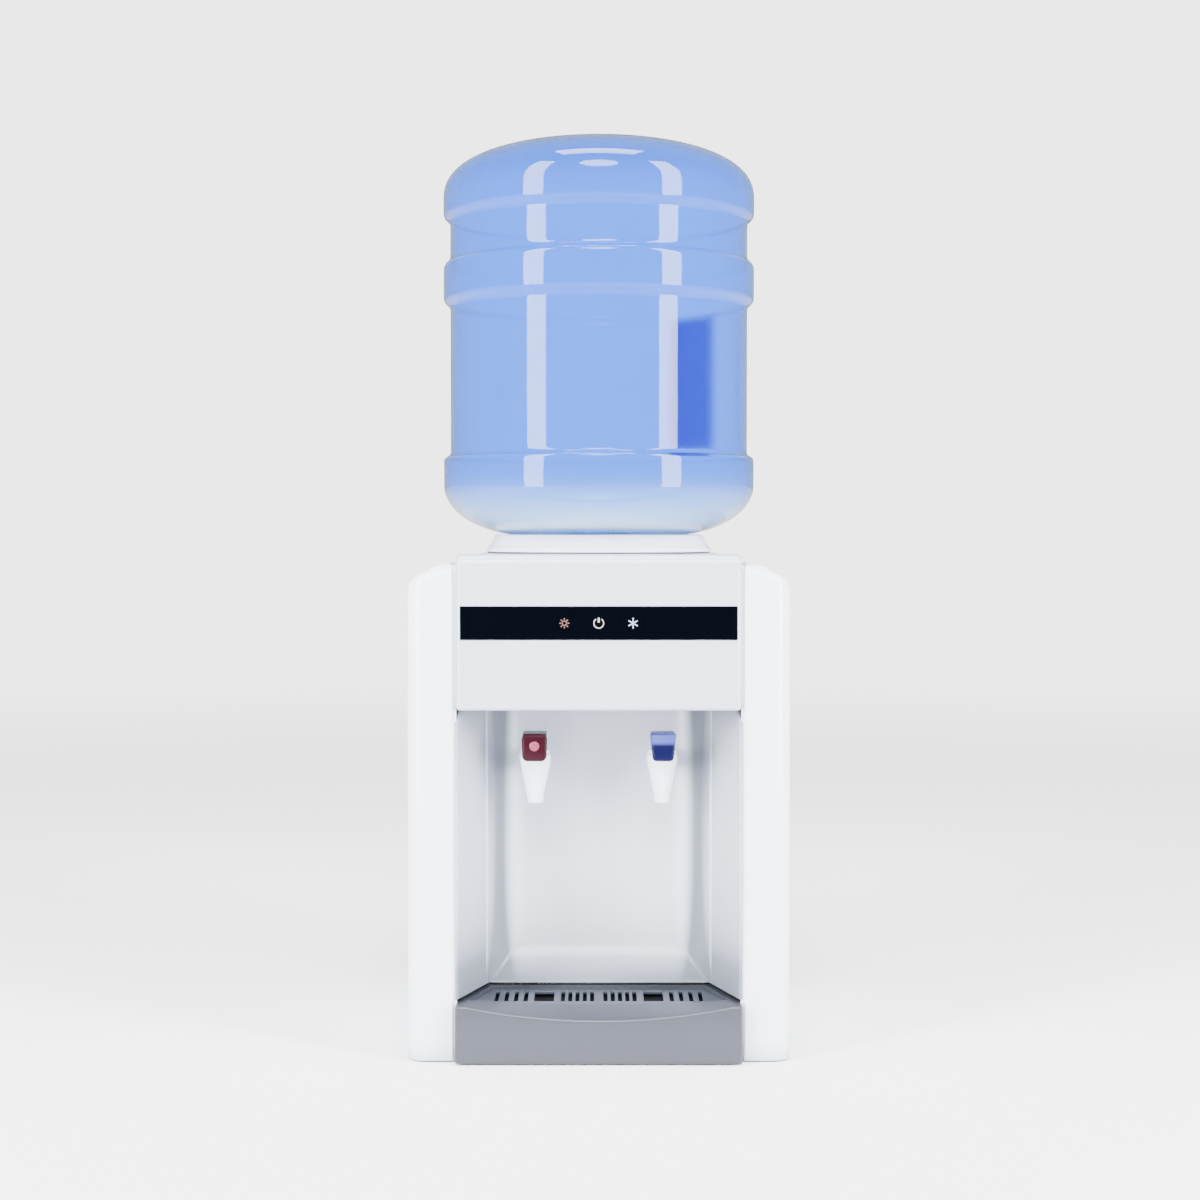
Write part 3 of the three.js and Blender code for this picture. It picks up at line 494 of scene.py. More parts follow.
def makeMaterials():
    finishGroup()
    niche = makeMaterial("nichePlastic", (0.74, 0.79, 0.9), (0.71, 0.76, 0.87), 0.36, 0.08, coat=0.1,
                         grain=1400, bump=0.06)
    # painted shade: the niche's colour darkens towards this grey-blue where its mask of hollows is high
    tintBy(niche, "hollow", (0.14, 0.155, 0.19))
    floor = makeMaterial("floor", (0.94, 0.94, 0.95), (0.91, 0.91, 0.93), 0.9, blotch=2, bump=0.01, ior=1.1)
    fadeFar(floor)
    makeMaterial("whitePlastic", (0.78, 0.82, 0.9), (0.75, 0.79, 0.875), 0.26, 0.05, coat=0.25)
    # painted shade: the panels' white plastic made greyer, for the duller light that falls on the fascia
    makeMaterial("fasciaPlastic", (0.44, 0.485, 0.565), (0.42, 0.465, 0.54), 0.26, 0.05, coat=0.25)
    # painted shadow: near-black grey for the ring that darkens the seam under the collar
    makeMaterial("gasketGrey", (0.07, 0.07, 0.075), (0.055, 0.055, 0.06), 0.6, 0.1, grain=1200)
    makeMaterial("innerWhite", (0.78, 0.80, 0.82), (0.72, 0.74, 0.76), 0.45, 0.1)
    makeMaterial("silverPaint", (0.05, 0.053, 0.068), (0.044, 0.047, 0.06), 0.32, 0.08, metallic=0.35,
                 grain=2600, bump=0.05)
    # the grille's own dark grey, darkened further as painted shade from the fascia's overhang and the tray's
    # shadowed corners
    makeMaterial("grillePlastic", (0.032, 0.038, 0.052), (0.024, 0.03, 0.042), 0.4, 0.1, grain=1500,
                 bump=0.08)
    makeMaterial("displayGloss", (0.0006, 0.001, 0.0022), (0.0005, 0.0008, 0.0018), 0.12, 0.03, ior=1.05)
    bottle = makeMaterial("bottleBlue", (0.19, 0.40, 0.9), (0.165, 0.37, 0.88), 0.04, 0.03,
                          transmission=1.0, ior=1.35, blotch=14, grain=60, bump=0.06, depth=0.0006)
    tintBy(bottle, "fade", (0.7, 0.88, 1.0))
    # painted shade: darker blue over the grip recess, for the dark patch that refraction makes there
    tintBy(bottle, "grip", (0.008, 0.02, 0.4))
    # painted shade: darker rims where the bottle is seen edge on
    paintEdgeShade(bottle, (0.03, 0.06, 0.2))
    makeMaterial("hotRed", (0.022, 0.0006, 0.005), (0.017, 0.0005, 0.004), 0.3, 0.06, ior=1.25)
    makeMaterial("buttonPink", (0.2, 0.024, 0.06), (0.17, 0.02, 0.05), 0.3, 0.06)
    leverTop = edges("cold_tap_lever")[5]
    cold = makeMaterial("coldBlue", (0.002, 0.002, 0.032), (0.0015, 0.0015, 0.026), 0.3, 0.06, ior=1.25)
    # painted highlight: the top of the cold lever turns lighter blue, for the light its sloped brow catches
    paintHighlightAbove(cold, leverTop - 10 * mm, leverTop - 7 * mm, (0.045, 0.055, 0.27))
    makeMaterial("stainless", (0.62, 0.63, 0.65), (0.5, 0.51, 0.53), 0.28, 0.16, metallic=1, grain=500,
                 stretch=(1, 1, 0.04), bump=0.15)
    makeMaterial("blackPaint", (0.022, 0.023, 0.026), (0.014, 0.015, 0.017), 0.38, 0.12, grain=1200,
                 bump=0.12)
    makeMaterial("blackPlastic", (0.018, 0.018, 0.02), (0.012, 0.012, 0.014), 0.5, 0.12, grain=1800,
                 bump=0.2)
    makeMaterial("footRubber", (0.03, 0.03, 0.032), (0.022, 0.022, 0.024), 0.8, 0.1, grain=900, bump=0.3)
    makeMaterial("silicone", (0.74, 0.77, 0.77), (0.68, 0.71, 0.71), 0.5, 0.1, bump=0.05)
    makeMaterial("foam", (0.66, 0.6, 0.46), (0.52, 0.46, 0.34), 0.9, 0.05, blotch=60, grain=450, bump=0.8,
                 depth=0.001)
    makeMaterial("copper", (0.72, 0.36, 0.2), (0.55, 0.24, 0.13), 0.3, 0.15, metallic=1, blotch=50)
    makeMaterial("boardGreen", (0.02, 0.16, 0.06), (0.015, 0.11, 0.04), 0.4, 0.1, blotch=200)
    makeMaterial("lampClear", (0.85, 0.8, 0.72), (0.75, 0.7, 0.62), 0.15, 0.04)
    makeMaterial("switchRed", (0.45, 0.02, 0.03), (0.36, 0.015, 0.022), 0.25, 0.05, coat=0.3)
    makeMaterial("switchGreen", (0.02, 0.25, 0.07), (0.015, 0.2, 0.05), 0.25, 0.05, coat=0.3)
    makeMaterial("iconWarm", (0.16, 0.07, 0.06), (0.12, 0.05, 0.045), 0.4, glow=0.15)
    makeMaterial("iconPlain", (0.36, 0.35, 0.3), (0.3, 0.29, 0.25), 0.4, glow=0.25)
    makeMaterial("iconCool", (0.3, 0.36, 0.48), (0.25, 0.3, 0.4), 0.4, glow=0.25)
    print("materials made:", len(materials))


# bottle: radius as a function of height, with raised bands, a superellipse dome and a round shoulder
bottleShape = {
    "band": 135.5 * mm,
    "wall": 129.6 * mm,
    "thickness": 1.4 * mm,
    "bands": [(0.462, 0.4938, 0.0016), (0.6262, 0.6618, 0.0026), (0.6995, 0.80, 0.0024)],  # from, to, soft
    "domePower": 2.4,
    "dome": 50 * mm,
    "shoulder": 44 * mm,
    "shoulderCentre": 60 * mm,
    "bandFoot": 96.8 * mm,  # above the neck's end
    "neck": 27.3 * mm,
    "bead": (6 * mm, 0.9 * mm, 1.4 * mm),  # on the neck: height, size and half width
    "fade": (58 * mm, 112 * mm),  # the colour is full above the second height and gone below the first
    "gripAngles": (34, 58),  # moulded hand recess at the back
    "gripHeights": (0.504, 0.624),
    "gripDepth": 5 * mm,
    "gripSoft": (1.6, 3 * mm),  # width of its edges, in degrees and in height
    "sides": 144,
}


def bottleProfile():
    # neck, throat and quarter ellipse shoulder, then wall plus soft bands, then the dome
    s = bottleShape
    low, high = edges("bottle")[4:]
    bandFoot = low + s["bandFoot"]
    domeFoot = high - s["dome"]
    neck = filleted([(s["neck"], low, 0), (s["neck"], low + 32 * mm, 8 * mm),
                     (40 * mm, low + 45 * mm, 20 * mm),
                     (s["shoulderCentre"], bandFoot - s["shoulder"], 0)], steps=10)
    place, size, half = s["bead"]
    neck[:, 0] += size * np.exp(-((neck[:, 1] - low - place) / half) ** 2)
    shoulder = arc((s["shoulderCentre"], bandFoot), (s["band"] - s["shoulderCentre"], s["shoulder"]),
                   -90, 0, 36)
    height = np.linspace(bandFoot, domeFoot, 190)[1:-1]
    raised = np.zeros_like(height)
    for start, end, soft in s["bands"]:
        raised += 0.5 * (np.tanh((height - start) / soft) - np.tanh((height - end) / soft))
    wall = np.stack([s["wall"] + (s["band"] - s["wall"]) * np.clip(raised, 0, 1), height], -1)
    turn = np.radians(np.linspace(0, 90, 44))
    power = 2 / s["domePower"]
    dome = np.stack([s["band"] * np.cos(turn) ** power, domeFoot + s["dome"] * np.sin(turn) ** power], -1)
    return np.concatenate([neck[:-1], shoulder, wall, dome])


def gripMask(x, y, z):
    # product of two soft boxes: one in angle round the bottle, one in height
    s = bottleShape
    angle = np.degrees(np.arctan2(y, x))
    start, end = s["gripAngles"]
    low, high = s["gripHeights"]
    softAround, softAlong = s["gripSoft"]
    around = 0.5 * (np.tanh((angle - start) / softAround) - np.tanh((angle - end) / softAround))
    along = 0.5 * (np.tanh((z - low) / softAlong) - np.tanh((z - high) / softAlong))
    return around * along


def innerProfile(profile, thickness):
    # each point moved inwards, square to the profile
    along = np.gradient(profile, axis=0)
    along /= np.linalg.norm(along, axis=1)[:, None]
    inward = np.stack([-along[:, 1], along[:, 0]], -1)
    inner = profile + inward * thickness
    inner[:, 0] = np.maximum(inner[:, 0], 0)
    return inner


def makeBottle():
    # wall of even thickness; the grip moves it inwards by depth times mask, and the fade is
    # ((high - height) / (high - low)) ** 1.5
    outside = bottleProfile()
    outside[-1, 0] = 0
    inside = innerProfile(outside, bottleShape["thickness"])
    inside[0, 1] = outside[0, 1]
    inside[-1, 0] = 0
    profile = np.concatenate([inside[::-1], outside])
    middle = np.mean(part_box("bottle"), axis=0)
    grid = turnedGrid(profile, middle[0], middle[1], bottleShape["sides"])
    grip = gripMask(grid[..., 0], grid[..., 1] - middle[1], grid[..., 2])
    outward = (grid - (middle[0], middle[1], 0)) * (1, 1, 0)
    outward /= np.maximum(np.linalg.norm(outward, axis=-1), 1e-9)[..., None]
    grid = grid - outward * (grip * bottleShape["gripDepth"])[..., None]
    mesh = gridMesh("water_bottle", grid, wrapRows=True, closed=True)
    x, y, z = vertexPlaces(mesh)
    low, high = edges("bottle")[4] + np.array(bottleShape["fade"])
    addMask(mesh, "grip", gripMask(x, y - middle[1], z))
    addMask(mesh, "fade", np.clip((high - z) / (high - low), 0, 1) ** 1.5)
    standFor(objectFrom("water_bottle", mesh), "bottleBlue", "bottle")
    print("bottle made")


# collar: flared wall, rolled rim, funnel and throat; the funnel's corners are (radius, height, rounding)
collarShape = {
    "ring": 104, "ringTop": 1.6, "grooveTop": 3.2, "groove": 96.8, "gasket": 97.7, "base": 98.6,
    "rim": 91.5, "lip": 84, "throat": (31, 33.5), "sides": 128,
    "funnelTop": [(79, 422.4, 3), (60, 417.7, 8), (42, 410, 8), (31, 401, 4)],
    "funnelUnder": [(33.5, 399.8, 4), (44, 407.3, 8), (61, 415.1, 6), (79.5, 419.7, 3), (86, 422.4, 1),
                    (88.6, 421.5, 1)],
}


def turnedPiece(name, corners, steps, middle, sides):
    # rounded outline in (radius, height), turned round the middle
    profile = filleted(corners, closed=True, steps=steps) * mm
    grid = turnedGrid(profile, middle[0], middle[1], sides)
    return objectFrom(name, gridMesh(name, grid, wrapRows=True, wrapCols=True, closed=True))


def makeCollar():
    c = collarShape
    throatIn, throatOut = c["throat"]
    middle = np.mean(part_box("bottle_collar"), axis=0)
    bottom, top = np.array(edges("bottle_collar")[4:]) / mm
    cover = edges("top_cover")[5] / mm
    low, high = cover + c["ringTop"], cover + c["grooveTop"]
    corners = [(c["ring"], cover + 0.4, 0.2), (c["ring"], low, 0.4), (c["groove"], low, 0.1),
               (c["groove"], high, 0.1), (c["base"], high, 0.3), (c["base"] - 0.6, cover + 6, 1.5),
               (95.2, cover + 9, 4), (c["rim"] + 0.6, top - 3, 4), (c["rim"] - 1.2, top, 2.2),
               (c["lip"], top, 2), *c["funnelTop"], (throatIn, bottom, 0.6), (throatOut, bottom, 0.6),
               *c["funnelUnder"], (92, cover + 8, 2), (94.5, cover + 0.4, 0.8)]
    standFor(turnedPiece("collar", corners, 7, middle, c["sides"]), "whitePlastic", "bottle_collar")
    # painted shadow: a near-black ring fills the groove at the collar's foot, standing for the shadow in the
    # seam
    inner, low, high = c["groove"] - 0.3, low + 0.1, high - 0.1
    corners = [(inner, low, 0.1), (c["gasket"], low, 0.3), (c["gasket"], high, 0.3), (inner, high, 0.1)]
    addTo(turnedPiece("collar_gasket", corners, 3, middle, c["sides"]), "gasketGrey", "bottle_collar")
    print("collar made")


def hood(path, inward, targets, roofAt, radius, floor):
    # walls over a plan path (n, 2), a quarter round inwards at the top, then a roof of height
    # roofAt(x, y) that runs on to the target line
    top = roofAt(*path.T) - radius
    rows = [(path, floor + (top - floor) * share) for share in np.linspace(0, 1, 24)[:-1]]
    for turn in np.radians(np.linspace(0, 90, 9)):
        plan = path + inward * radius * (1 - math.cos(turn))
        rows.append((plan, roofAt(*plan.T) - radius * (1 - math.sin(turn))))
    inner = path + inward * radius
    for share in np.linspace(0, 1, 8)[1:]:
        plan = inner * (1 - share) + targets * share
        rows.append((plan, roofAt(*plan.T)))
    return np.stack([atHeight(plan, height) for plan, height in rows])


# side panels: pillar front, outer wall and sloped roof
panelShape = {"corner": 15 * mm, "edge": 8 * mm, "return": 2.2 * mm, "grooveDepth": 2.4 * mm,
              "lip": 2.3 * mm, "roofDrop": 12 * mm, "wall": 2.2 * mm}


def makeSidePanel(node, side):
    p = panelShape
    x0, x1, y0, y1, z0, z1 = edges(node)
    outer, inner = max(abs(x0), abs(x1)), min(abs(x0), abs(x1))
    corner, turned = p["corner"], p["return"]
    lip = y0 + p["grooveDepth"]
    back = np.array([(inner - p["lip"], lip), (inner - p["lip"] / 2, lip), (inner - 0.05 * mm, lip),
                     (inner, lip - 0.05 * mm), (inner, (lip + y0 + turned) / 2)])
    bead = arc((inner + turned, y0 + turned), turned, 180, 270, 7)
    plan = np.concatenate([back, bead, np.linspace((inner + turned, y0), (outer - corner, y0), 10)[1:-1],
                           arc((outer - corner, y0 + corner), corner, -90, 0, 14),
                           np.linspace((outer, y0 + corner), (outer, y1), 34)[1:]])
    along = np.gradient(plan, axis=0)
    along /= np.linalg.norm(along, axis=1)[:, None]
    inward = np.stack([-along[:, 1], along[:, 0]], -1)
    inward[:len(back) + len(bead)] = (0, 1)
    rounded = plan + inward * p["edge"]
    targets = np.stack([np.full(len(plan), inner), rounded[:, 1]], -1)

    def roofAt(x, y):
        return z1 - p["roofDrop"] * np.clip((np.abs(x) - inner) / (outer - inner), 0, 1) ** 1.6

    points = hood(plan, inward, targets, roofAt, p["edge"], z0)
    if side < 0:
        points = points[:, ::-1] * (-1, 1, 1)
    piece = objectFrom("fine_" + node, gridMesh("fine_" + node, points))
    thickened(piece, p["wall"])
    standFor(piece, "whitePlastic", node)


# fascia: one profile from the foot, over the front and the rolled top, carried from end to end; at both
# ends it shrinks round a corner and runs straight back; the display sits in a pocket
fasciaShape = {"end": 3.5, "roll": 9, "foot": 3, "wall": 2.2, "pocketGap": 0.5}


def makeFascia():
    f = fasciaShape
    x0, x1, y0, y1, z0, z1 = edgesInMm("front_fascia")
    wx0, wx1, wy0, wy1, wz0, wz1 = edgesInMm("display_window")
    gap, nudge, end = f["pocketGap"], 0.02, f["end"]
    low, high = wz0 - gap, wz1 + gap
    heights = np.unique(np.concatenate([np.linspace(z0 + f["foot"], z1 - f["roll"], 28)[1:-1],
                                        [low - nudge, low + nudge, high - nudge, high + nudge]]))
    profile = np.concatenate([
        np.linspace((y1, z0), (y0 + f["foot"], z0), 4)[:-1],
        arc((y0 + f["foot"], z0 + f["foot"]), f["foot"], 270, 180, 7),
        np.column_stack([np.full(len(heights), y0), heights]),
        arc((y0 + f["roll"], z1 - f["roll"]), f["roll"], 180, 90, 12), [(y1, z1)]])
    along = np.gradient(profile, axis=0)
    along /= np.linalg.norm(along, axis=1)[:, None]
    inward = np.stack([along[:, 1], -along[:, 0]], -1)
    inward[0], inward[-1] = (0, 1), (0, -1)
    pocket = [wx1 + gap - nudge, wx1 + gap + nudge]
    across = np.unique(np.concatenate([np.linspace(0, x1 - end, 34), pocket]))
    columns = [(x, profile) for x in across]
    for turn in np.radians(np.linspace(0, 90, 7)[1:]):
        columns.append((x1 - end + end * math.sin(turn), profile + inward * end * (1 - math.cos(turn))))
    shrunk = profile + inward * end
    for share in (0.5, 1):
        columns.append((x1, np.column_stack([shrunk[:, 0] * (1 - share) + y1 * share, shrunk[:, 1]])))
    half = np.stack([np.column_stack([np.full(len(plan), x), plan]) for x, plan in columns], axis=1)
    points = np.concatenate([half[:, :0:-1] * (-1, 1, 1), half], axis=1)
    inPocket = ((np.abs(points[..., 0]) < wx1 + gap) & (points[..., 2] > low) & (points[..., 2] < high)
                & (points[..., 1] < y0 + 1))
    points[..., 1] += inPocket * (wy1 - y0 + 0.1)
    piece = objectFrom("fascia", gridMesh("fascia", points * mm))
    thickened(piece, f["wall"] * mm)
    # the fascia takes the greyer copy of the white plastic, as painted shade
    standFor(piece, "fasciaPlastic", "front_fascia")
    print("fascia made")


def slab(x0, x1, y0, y1, z0, z1, radius):
    # rounded rectangle in XZ carried from y0 to y1, a closed block
    loop = roundedLoop((x1 - x0) / 2, (z1 - z0) / 2, radius)
    depth = np.array([y0, y1])
    grid = np.empty((2, len(loop), 3))
    grid[..., 0] = (x0 + x1) / 2 + loop[:, 0]
    grid[..., 2] = (z0 + z1) / 2 + loop[:, 1]
    grid[..., 1] = depth[:, None]
    return block(grid)


def makeDisplay():
    x0, x1, y0, y1, z0, z1 = edges("display_window")
    window = objectFrom("display", joinedMesh("display", [slab(x0, x1, y0, y1, z0, z1, 0.8 * mm)]))
    bevelled(window, 0.3 * mm, 3)
    standFor(window, "displayGloss", "display_window")
    # three plain signs under the gloss: a sun for heat, a bar and ring for power, a flake for cold
    looks = (("heat_lamp", "iconWarm"), ("power_lamp", "iconPlain"), ("cool_lamp", "iconCool"))
    for order, (lamp, material) in enumerate(looks):
        lx0, lx1, ly0, ly1, lz0, lz1 = edges(lamp)
        cx, cz = (lx0 + lx1) / 2, (lz0 + lz1) / 2
        parts = signRays(order, cx, cz, y0 - 0.05 * mm)
        addTo(objectFrom("sign_" + lamp, joinedMesh("sign_" + lamp, parts)), material, lamp)
    print("display made")


def signRays(order, cx, cz, y):
    # short bars about a centre: each bar is a thin slab turned by its own angle
    counts, inner, outer, wide = ((8, 2.6, 4.0, 0.45), (1, 0.6, 4.4, 0.7), (6, 0.0, 4.2, 0.45))[order]
    thick = 0.12 * mm
    parts = []
    for turn in np.linspace(0, 2 * math.pi, counts, endpoint=False) + math.pi / 2:
        across = np.array([-wide, wide, wide, -wide]) * mm
        along = np.array([inner, inner, outer, outer]) * mm
        x = cx + along * math.cos(turn) - across * math.sin(turn)
        z = cz + along * math.sin(turn) + across * math.cos(turn)
        parts.append(block(np.stack([np.stack([x, np.full(4, depth), z], -1) for depth in (y, y + thick)])))
    if order < 2:
        start, end, radius = ((0, 360, 1.7), (125, 415, 3.9))[order]
        turn = np.radians(np.linspace(start, end, 30))
        path = np.stack([cx + radius * mm * np.cos(turn), np.full(30, y + thick / 2),
                         cz + radius * mm * np.sin(turn)], -1)
        ring = tubeGrid(path, 0.4 * mm, 6)
        ring[..., 1] = np.clip(ring[..., 1], y, y + thick)
        parts.append(block(ring))
    return parts


# top cover: slightly crowned plate round the well, with a rolled edge and a skirt
coverShape = {"well": 98 * mm, "edge": 3 * mm, "crown": 1.2 * mm, "wall": 2.5 * mm}


def makeTopCover():
    c = coverShape
    x0, x1, y0, y1, z0, z1 = edges("top_cover")
    middle = np.mean(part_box("bottle_collar"), axis=0)[1]
    inner = roundedRectangle(x0, x1, y0, y1, c["edge"], middle)
    outer = roundedRectangle(x0, x1, y0, y1, 0, middle)
    turn = np.linspace(0, 2 * math.pi, len(inner), endpoint=False)
    ring = np.stack([c["well"] * np.cos(turn), middle + c["well"] * np.sin(turn)], -1)
    rows = [atHeight(ring, z0), atHeight(ring, z1 - 1 * mm)]
    for share in np.linspace(0.02, 1, 10):
        rows.append(atHeight(ring * (1 - share) + inner * share, z1 - c["crown"] * share ** 2))
    for angle in np.radians(np.linspace(0, 90, 6)[1:]):
        height = z1 - c["crown"] - c["edge"] * (1 - math.cos(angle))
        rows.append(atHeight(inner + (outer - inner) * math.sin(angle), height))
    rows.append(atHeight(outer, z0))
    piece = objectFrom("lid_cover", gridMesh("lid_cover", np.stack(rows)[:, ::-1], wrapCols=True))
    thickened(piece, c["wall"])
    standFor(piece, "whitePlastic", "top_cover")
    print("top cover made")


def roundedRectangle(x0, x1, y0, y1, inset, middle, count=240):
    # where each ray from the well's middle meets the rectangle, its corners a little rounded
    turn = np.linspace(0, 2 * math.pi, count, endpoint=False)
    across, along = np.cos(turn), np.sin(turn)
    wide = np.where(across > 0, x1 - inset, -(x0 + inset))
    long = np.where(along > 0, y1 - inset - middle, middle - (y0 + inset))
    reachX, reachY = wide / np.maximum(np.abs(across), 1e-9), long / np.maximum(np.abs(along), 1e-9)
    reach = (reachX ** -40.0 + reachY ** -40.0) ** (-1 / 40)  # a softened smaller of the two
    return np.stack([reach * across, middle + reach * along], -1)


# niche: slanted sides, a ridge, elliptic corners and a flat back that sweeps forward at its foot
nicheShape = {
    "front": 113.8, "ridge": 93, "ridgeDepth": -88, "bead": 1.2, "backHalf": 60, "back": -45, "sweep": 35,
    "wall": 2.1,
    # painted shade in the niche's colour: where it falls and how strongly
    "cornerShade": (84, 8),  # distance from the middle, and width
    "wallShade": 0.52,
    "footShade": 34,  # height over which it fades
    "roofShade": (0.5, 50),  # share, and height over which it fades
}


def makeNiche():
    n = nicheShape
    x0, x1, y0, y1, z0, z1 = edgesInMm("niche_liner")
    ridge, depth = n["ridge"], n["ridgeDepth"]
    side = np.linspace((n["front"], y0), (ridge + n["bead"], depth - 3.5), 18)
    bead = arc((ridge + 0.2, depth - 2), (n["bead"], n["bead"] * 0.8), 10, 130, 4)
    cornerWide = ridge - n["bead"] - n["backHalf"]
    corner = arc((n["backHalf"], depth), (cornerWide, n["back"] - depth), 2, 90, 26)
    half = np.concatenate([side, bead, corner])
    back = np.linspace((-n["backHalf"], n["back"]), (n["backHalf"], n["back"]), 20)[1:-1]
    plan = np.concatenate([half * (-1, 1), back, half[::-1]])
    floor = z0 + n["wall"]
    sweep = np.radians(np.linspace(0, 90, 14))
    low = floor + n["sweep"] * (1 - np.cos(sweep))
    reach = n["back"] - n["sweep"] + n["sweep"] * np.sin(sweep)
    heights = np.concatenate([low, np.linspace(low[-1], z1 - n["wall"] - 4, 24)[1:]])
    limits = np.concatenate([reach, np.full(23, n["back"])])
    rows = [atHeight(np.minimum(plan, (np.inf, limit)), z) for z, limit in zip(heights, limits)]
    ceiling = z1 - n["wall"]
    fasciaBack = edges("front_fascia")[3] / mm + 0.8
    for share in np.linspace(0, 1, 8):
        forward = plan * (1 - share) + np.minimum(plan, (np.inf, fasciaBack)) * share
        rows.append(atHeight(forward, ceiling - 2 * (1 - min(share * 8, 1))))
    points = np.stack(rows)
    behind = points[..., 2] > edges("front_fascia")[4] / mm - 0.8
    points[..., 1] = np.where(behind, np.maximum(points[..., 1], fasciaBack), points[..., 1])
    mesh = gridMesh("niche", points * mm)
    x, y, z = vertexPlaces(mesh) / mm
    # painted shade in the hollows, where less light reaches: a bell across each corner, a flat share on the
    # side walls, and fades up from the foot and down from the roof under the fascia
    shadeAt, shadeWide = n["cornerShade"]
    roofShare, roofTall = n["roofShade"]
    corners = np.exp(-((np.abs(x) - shadeAt) / shadeWide) ** 2) * (y > depth - 2)
    walls = n["wallShade"] * (y <= depth - 2)
    foot = np.exp(-(z - z0) / n["footShade"])
    roof = roofShare * np.exp(-(z1 - z) / roofTall)
    addMask(mesh, "hollow", np.clip(corners + walls + foot + roof, 0, 1))
    piece = objectFrom("niche", mesh)
    thickened(piece, n["wall"] * mm)
    standFor(piece, "nichePlastic", "niche_liner")
    print("niche made")


# drip tray: one closed section in YZ for each x, from side to side
trayShape = {
    "scoopHalf": 107, "scoopDrop": 11.5, "basinDrop": 39, "round": 1.6,
    "backHalf": 90,  # half width of the seat at its back
    "slack": 0.4,  # between grille and seat
    "ledge": 3.4,  # that the grille rests on
    "plate": (-150, 6.3),  # where the front wall ends and the thin floor behind it begins
}


def trayHalfAt(y, grow):
    # half width of the grille's seat at depth y: it narrows to the back
    x0, x1, y0, y1, z0, z1 = edgesInMm("tray_grille")
    share = np.clip((y - y0) / (y1 - 4 - y0), 0, 1)
    return x1 + (trayShape["backHalf"] - x1) * share + grow


def traySection(x, box, seat):
    # outline of the tray at x, as corners (y, z, radius); beyond the seat the steps shrink to nothing
    t = trayShape
    x0, x1, y0, y1, z0, z1 = box
    sy0, sy1, sz0, sz1 = seat
    slack, ledge = t["slack"], t["ledge"]
    frontHalf, backHalf = trayHalfAt(sy0, slack), trayHalfAt(sy1, slack)
    bow = min(abs(x) / t["scoopHalf"], 1) ** 2
    lip = z1 - t["scoopDrop"] * (1 - bow)
    shelf = z1 - (z1 - sz1) * (1 - bow) - 0.05
    inSeat = abs(x) < frontHalf
    seatEnd = sy1 + slack
    if inSeat and abs(x) > backHalf:
        seatEnd = sy0 + (sy1 - 4 - sy0) * (frontHalf - abs(x)) / (frontHalf - backHalf)
    seatStart = sy0 - slack
    seatDepth = z1 - sz0 + 0.3 if inSeat else 0.02
    if not inSeat:
        seatEnd = seatStart + 1
    basinStart, basinEnd = seatStart + ledge, seatEnd - ledge
    basin = inSeat and basinEnd - basinStart > 4 and abs(x) < frontHalf - ledge
    if not basin:
        reach = seatEnd - seatStart
        basinStart, basinEnd = seatStart + reach * 0.4, seatStart + reach * 0.6
    floor = z1 - (t["basinDrop"] if basin else seatDepth + 0.01)
    rest = z1 - seatDepth
    front, plate = t["plate"]
    return [(y0, z0, 1.2), (y0, lip, 2.2), (seatStart - 1.2, shelf, 0.8), (seatStart, shelf, 0.2),
            (seatStart + 0.01, rest, 0), (basinStart, rest - 0.005, 0), (basinStart + 0.01, floor, 0),
            (basinEnd, floor, 0), (basinEnd + 0.01, rest - 0.005, 0), (seatEnd, rest, 0),
            (seatEnd + 0.01, z1 - 0.01, 0), (y1, z1, 1.2), (y1, plate, 0.5), (front, plate, 0.5),
            (front, z0, 0.5)]


def makeTray():
    # sections close together where the seat and the basin end; at both sides the outline shrinks round a
    # quarter circle
    t = trayShape
    box = edgesInMm("drip_tray")
    seat = np.array(edges("tray_grille"))[2:] / mm
    frontHalf = trayHalfAt(seat[0], t["slack"])
    stops = [frontHalf - away + nudge for away in (0, t["ledge"]) for nudge in (-0.02, 0.02)]
    across = np.concatenate([np.linspace(0, box[1] - t["round"], 60), stops])
    across = np.unique(np.concatenate([across, -across]))
    sections = []
    for x in across:
        outline = filleted(traySection(x, box, seat), closed=True, steps=5)
        sections.append(np.column_stack([np.full(len(outline), x), outline]))
    ends = []
    last = sections[-1][:, 1:]
    for turn in np.radians(np.linspace(0, 90, 5)[1:]):
        outline = last - np.sign(last - last.mean(0)) * t["round"] * (1 - math.cos(turn))
        x = box[1] - t["round"] * (1 - math.sin(turn))
        ends.append(np.column_stack([np.full(len(outline), x), outline]))
    points = np.stack([end * (-1, 1, 1) for end in ends[::-1]] + sections + ends)
    mesh = gridMesh("tray", points * mm, wrapCols=True, caps=True, closed=True)
    standFor(objectFrom("tray", mesh), "silverPaint", "drip_tray")
    print("tray made")


# grille: a plate that narrows to the back, with slots left out of its grid
grilleShape = {"slot": 3.2, "centre": (5.5, 6, 5), "drain": (45, 8), "outer": (60, 8, 4), "inside": 89,
               "margin": 8, "crossBar": 17, "thickness": 2.8}


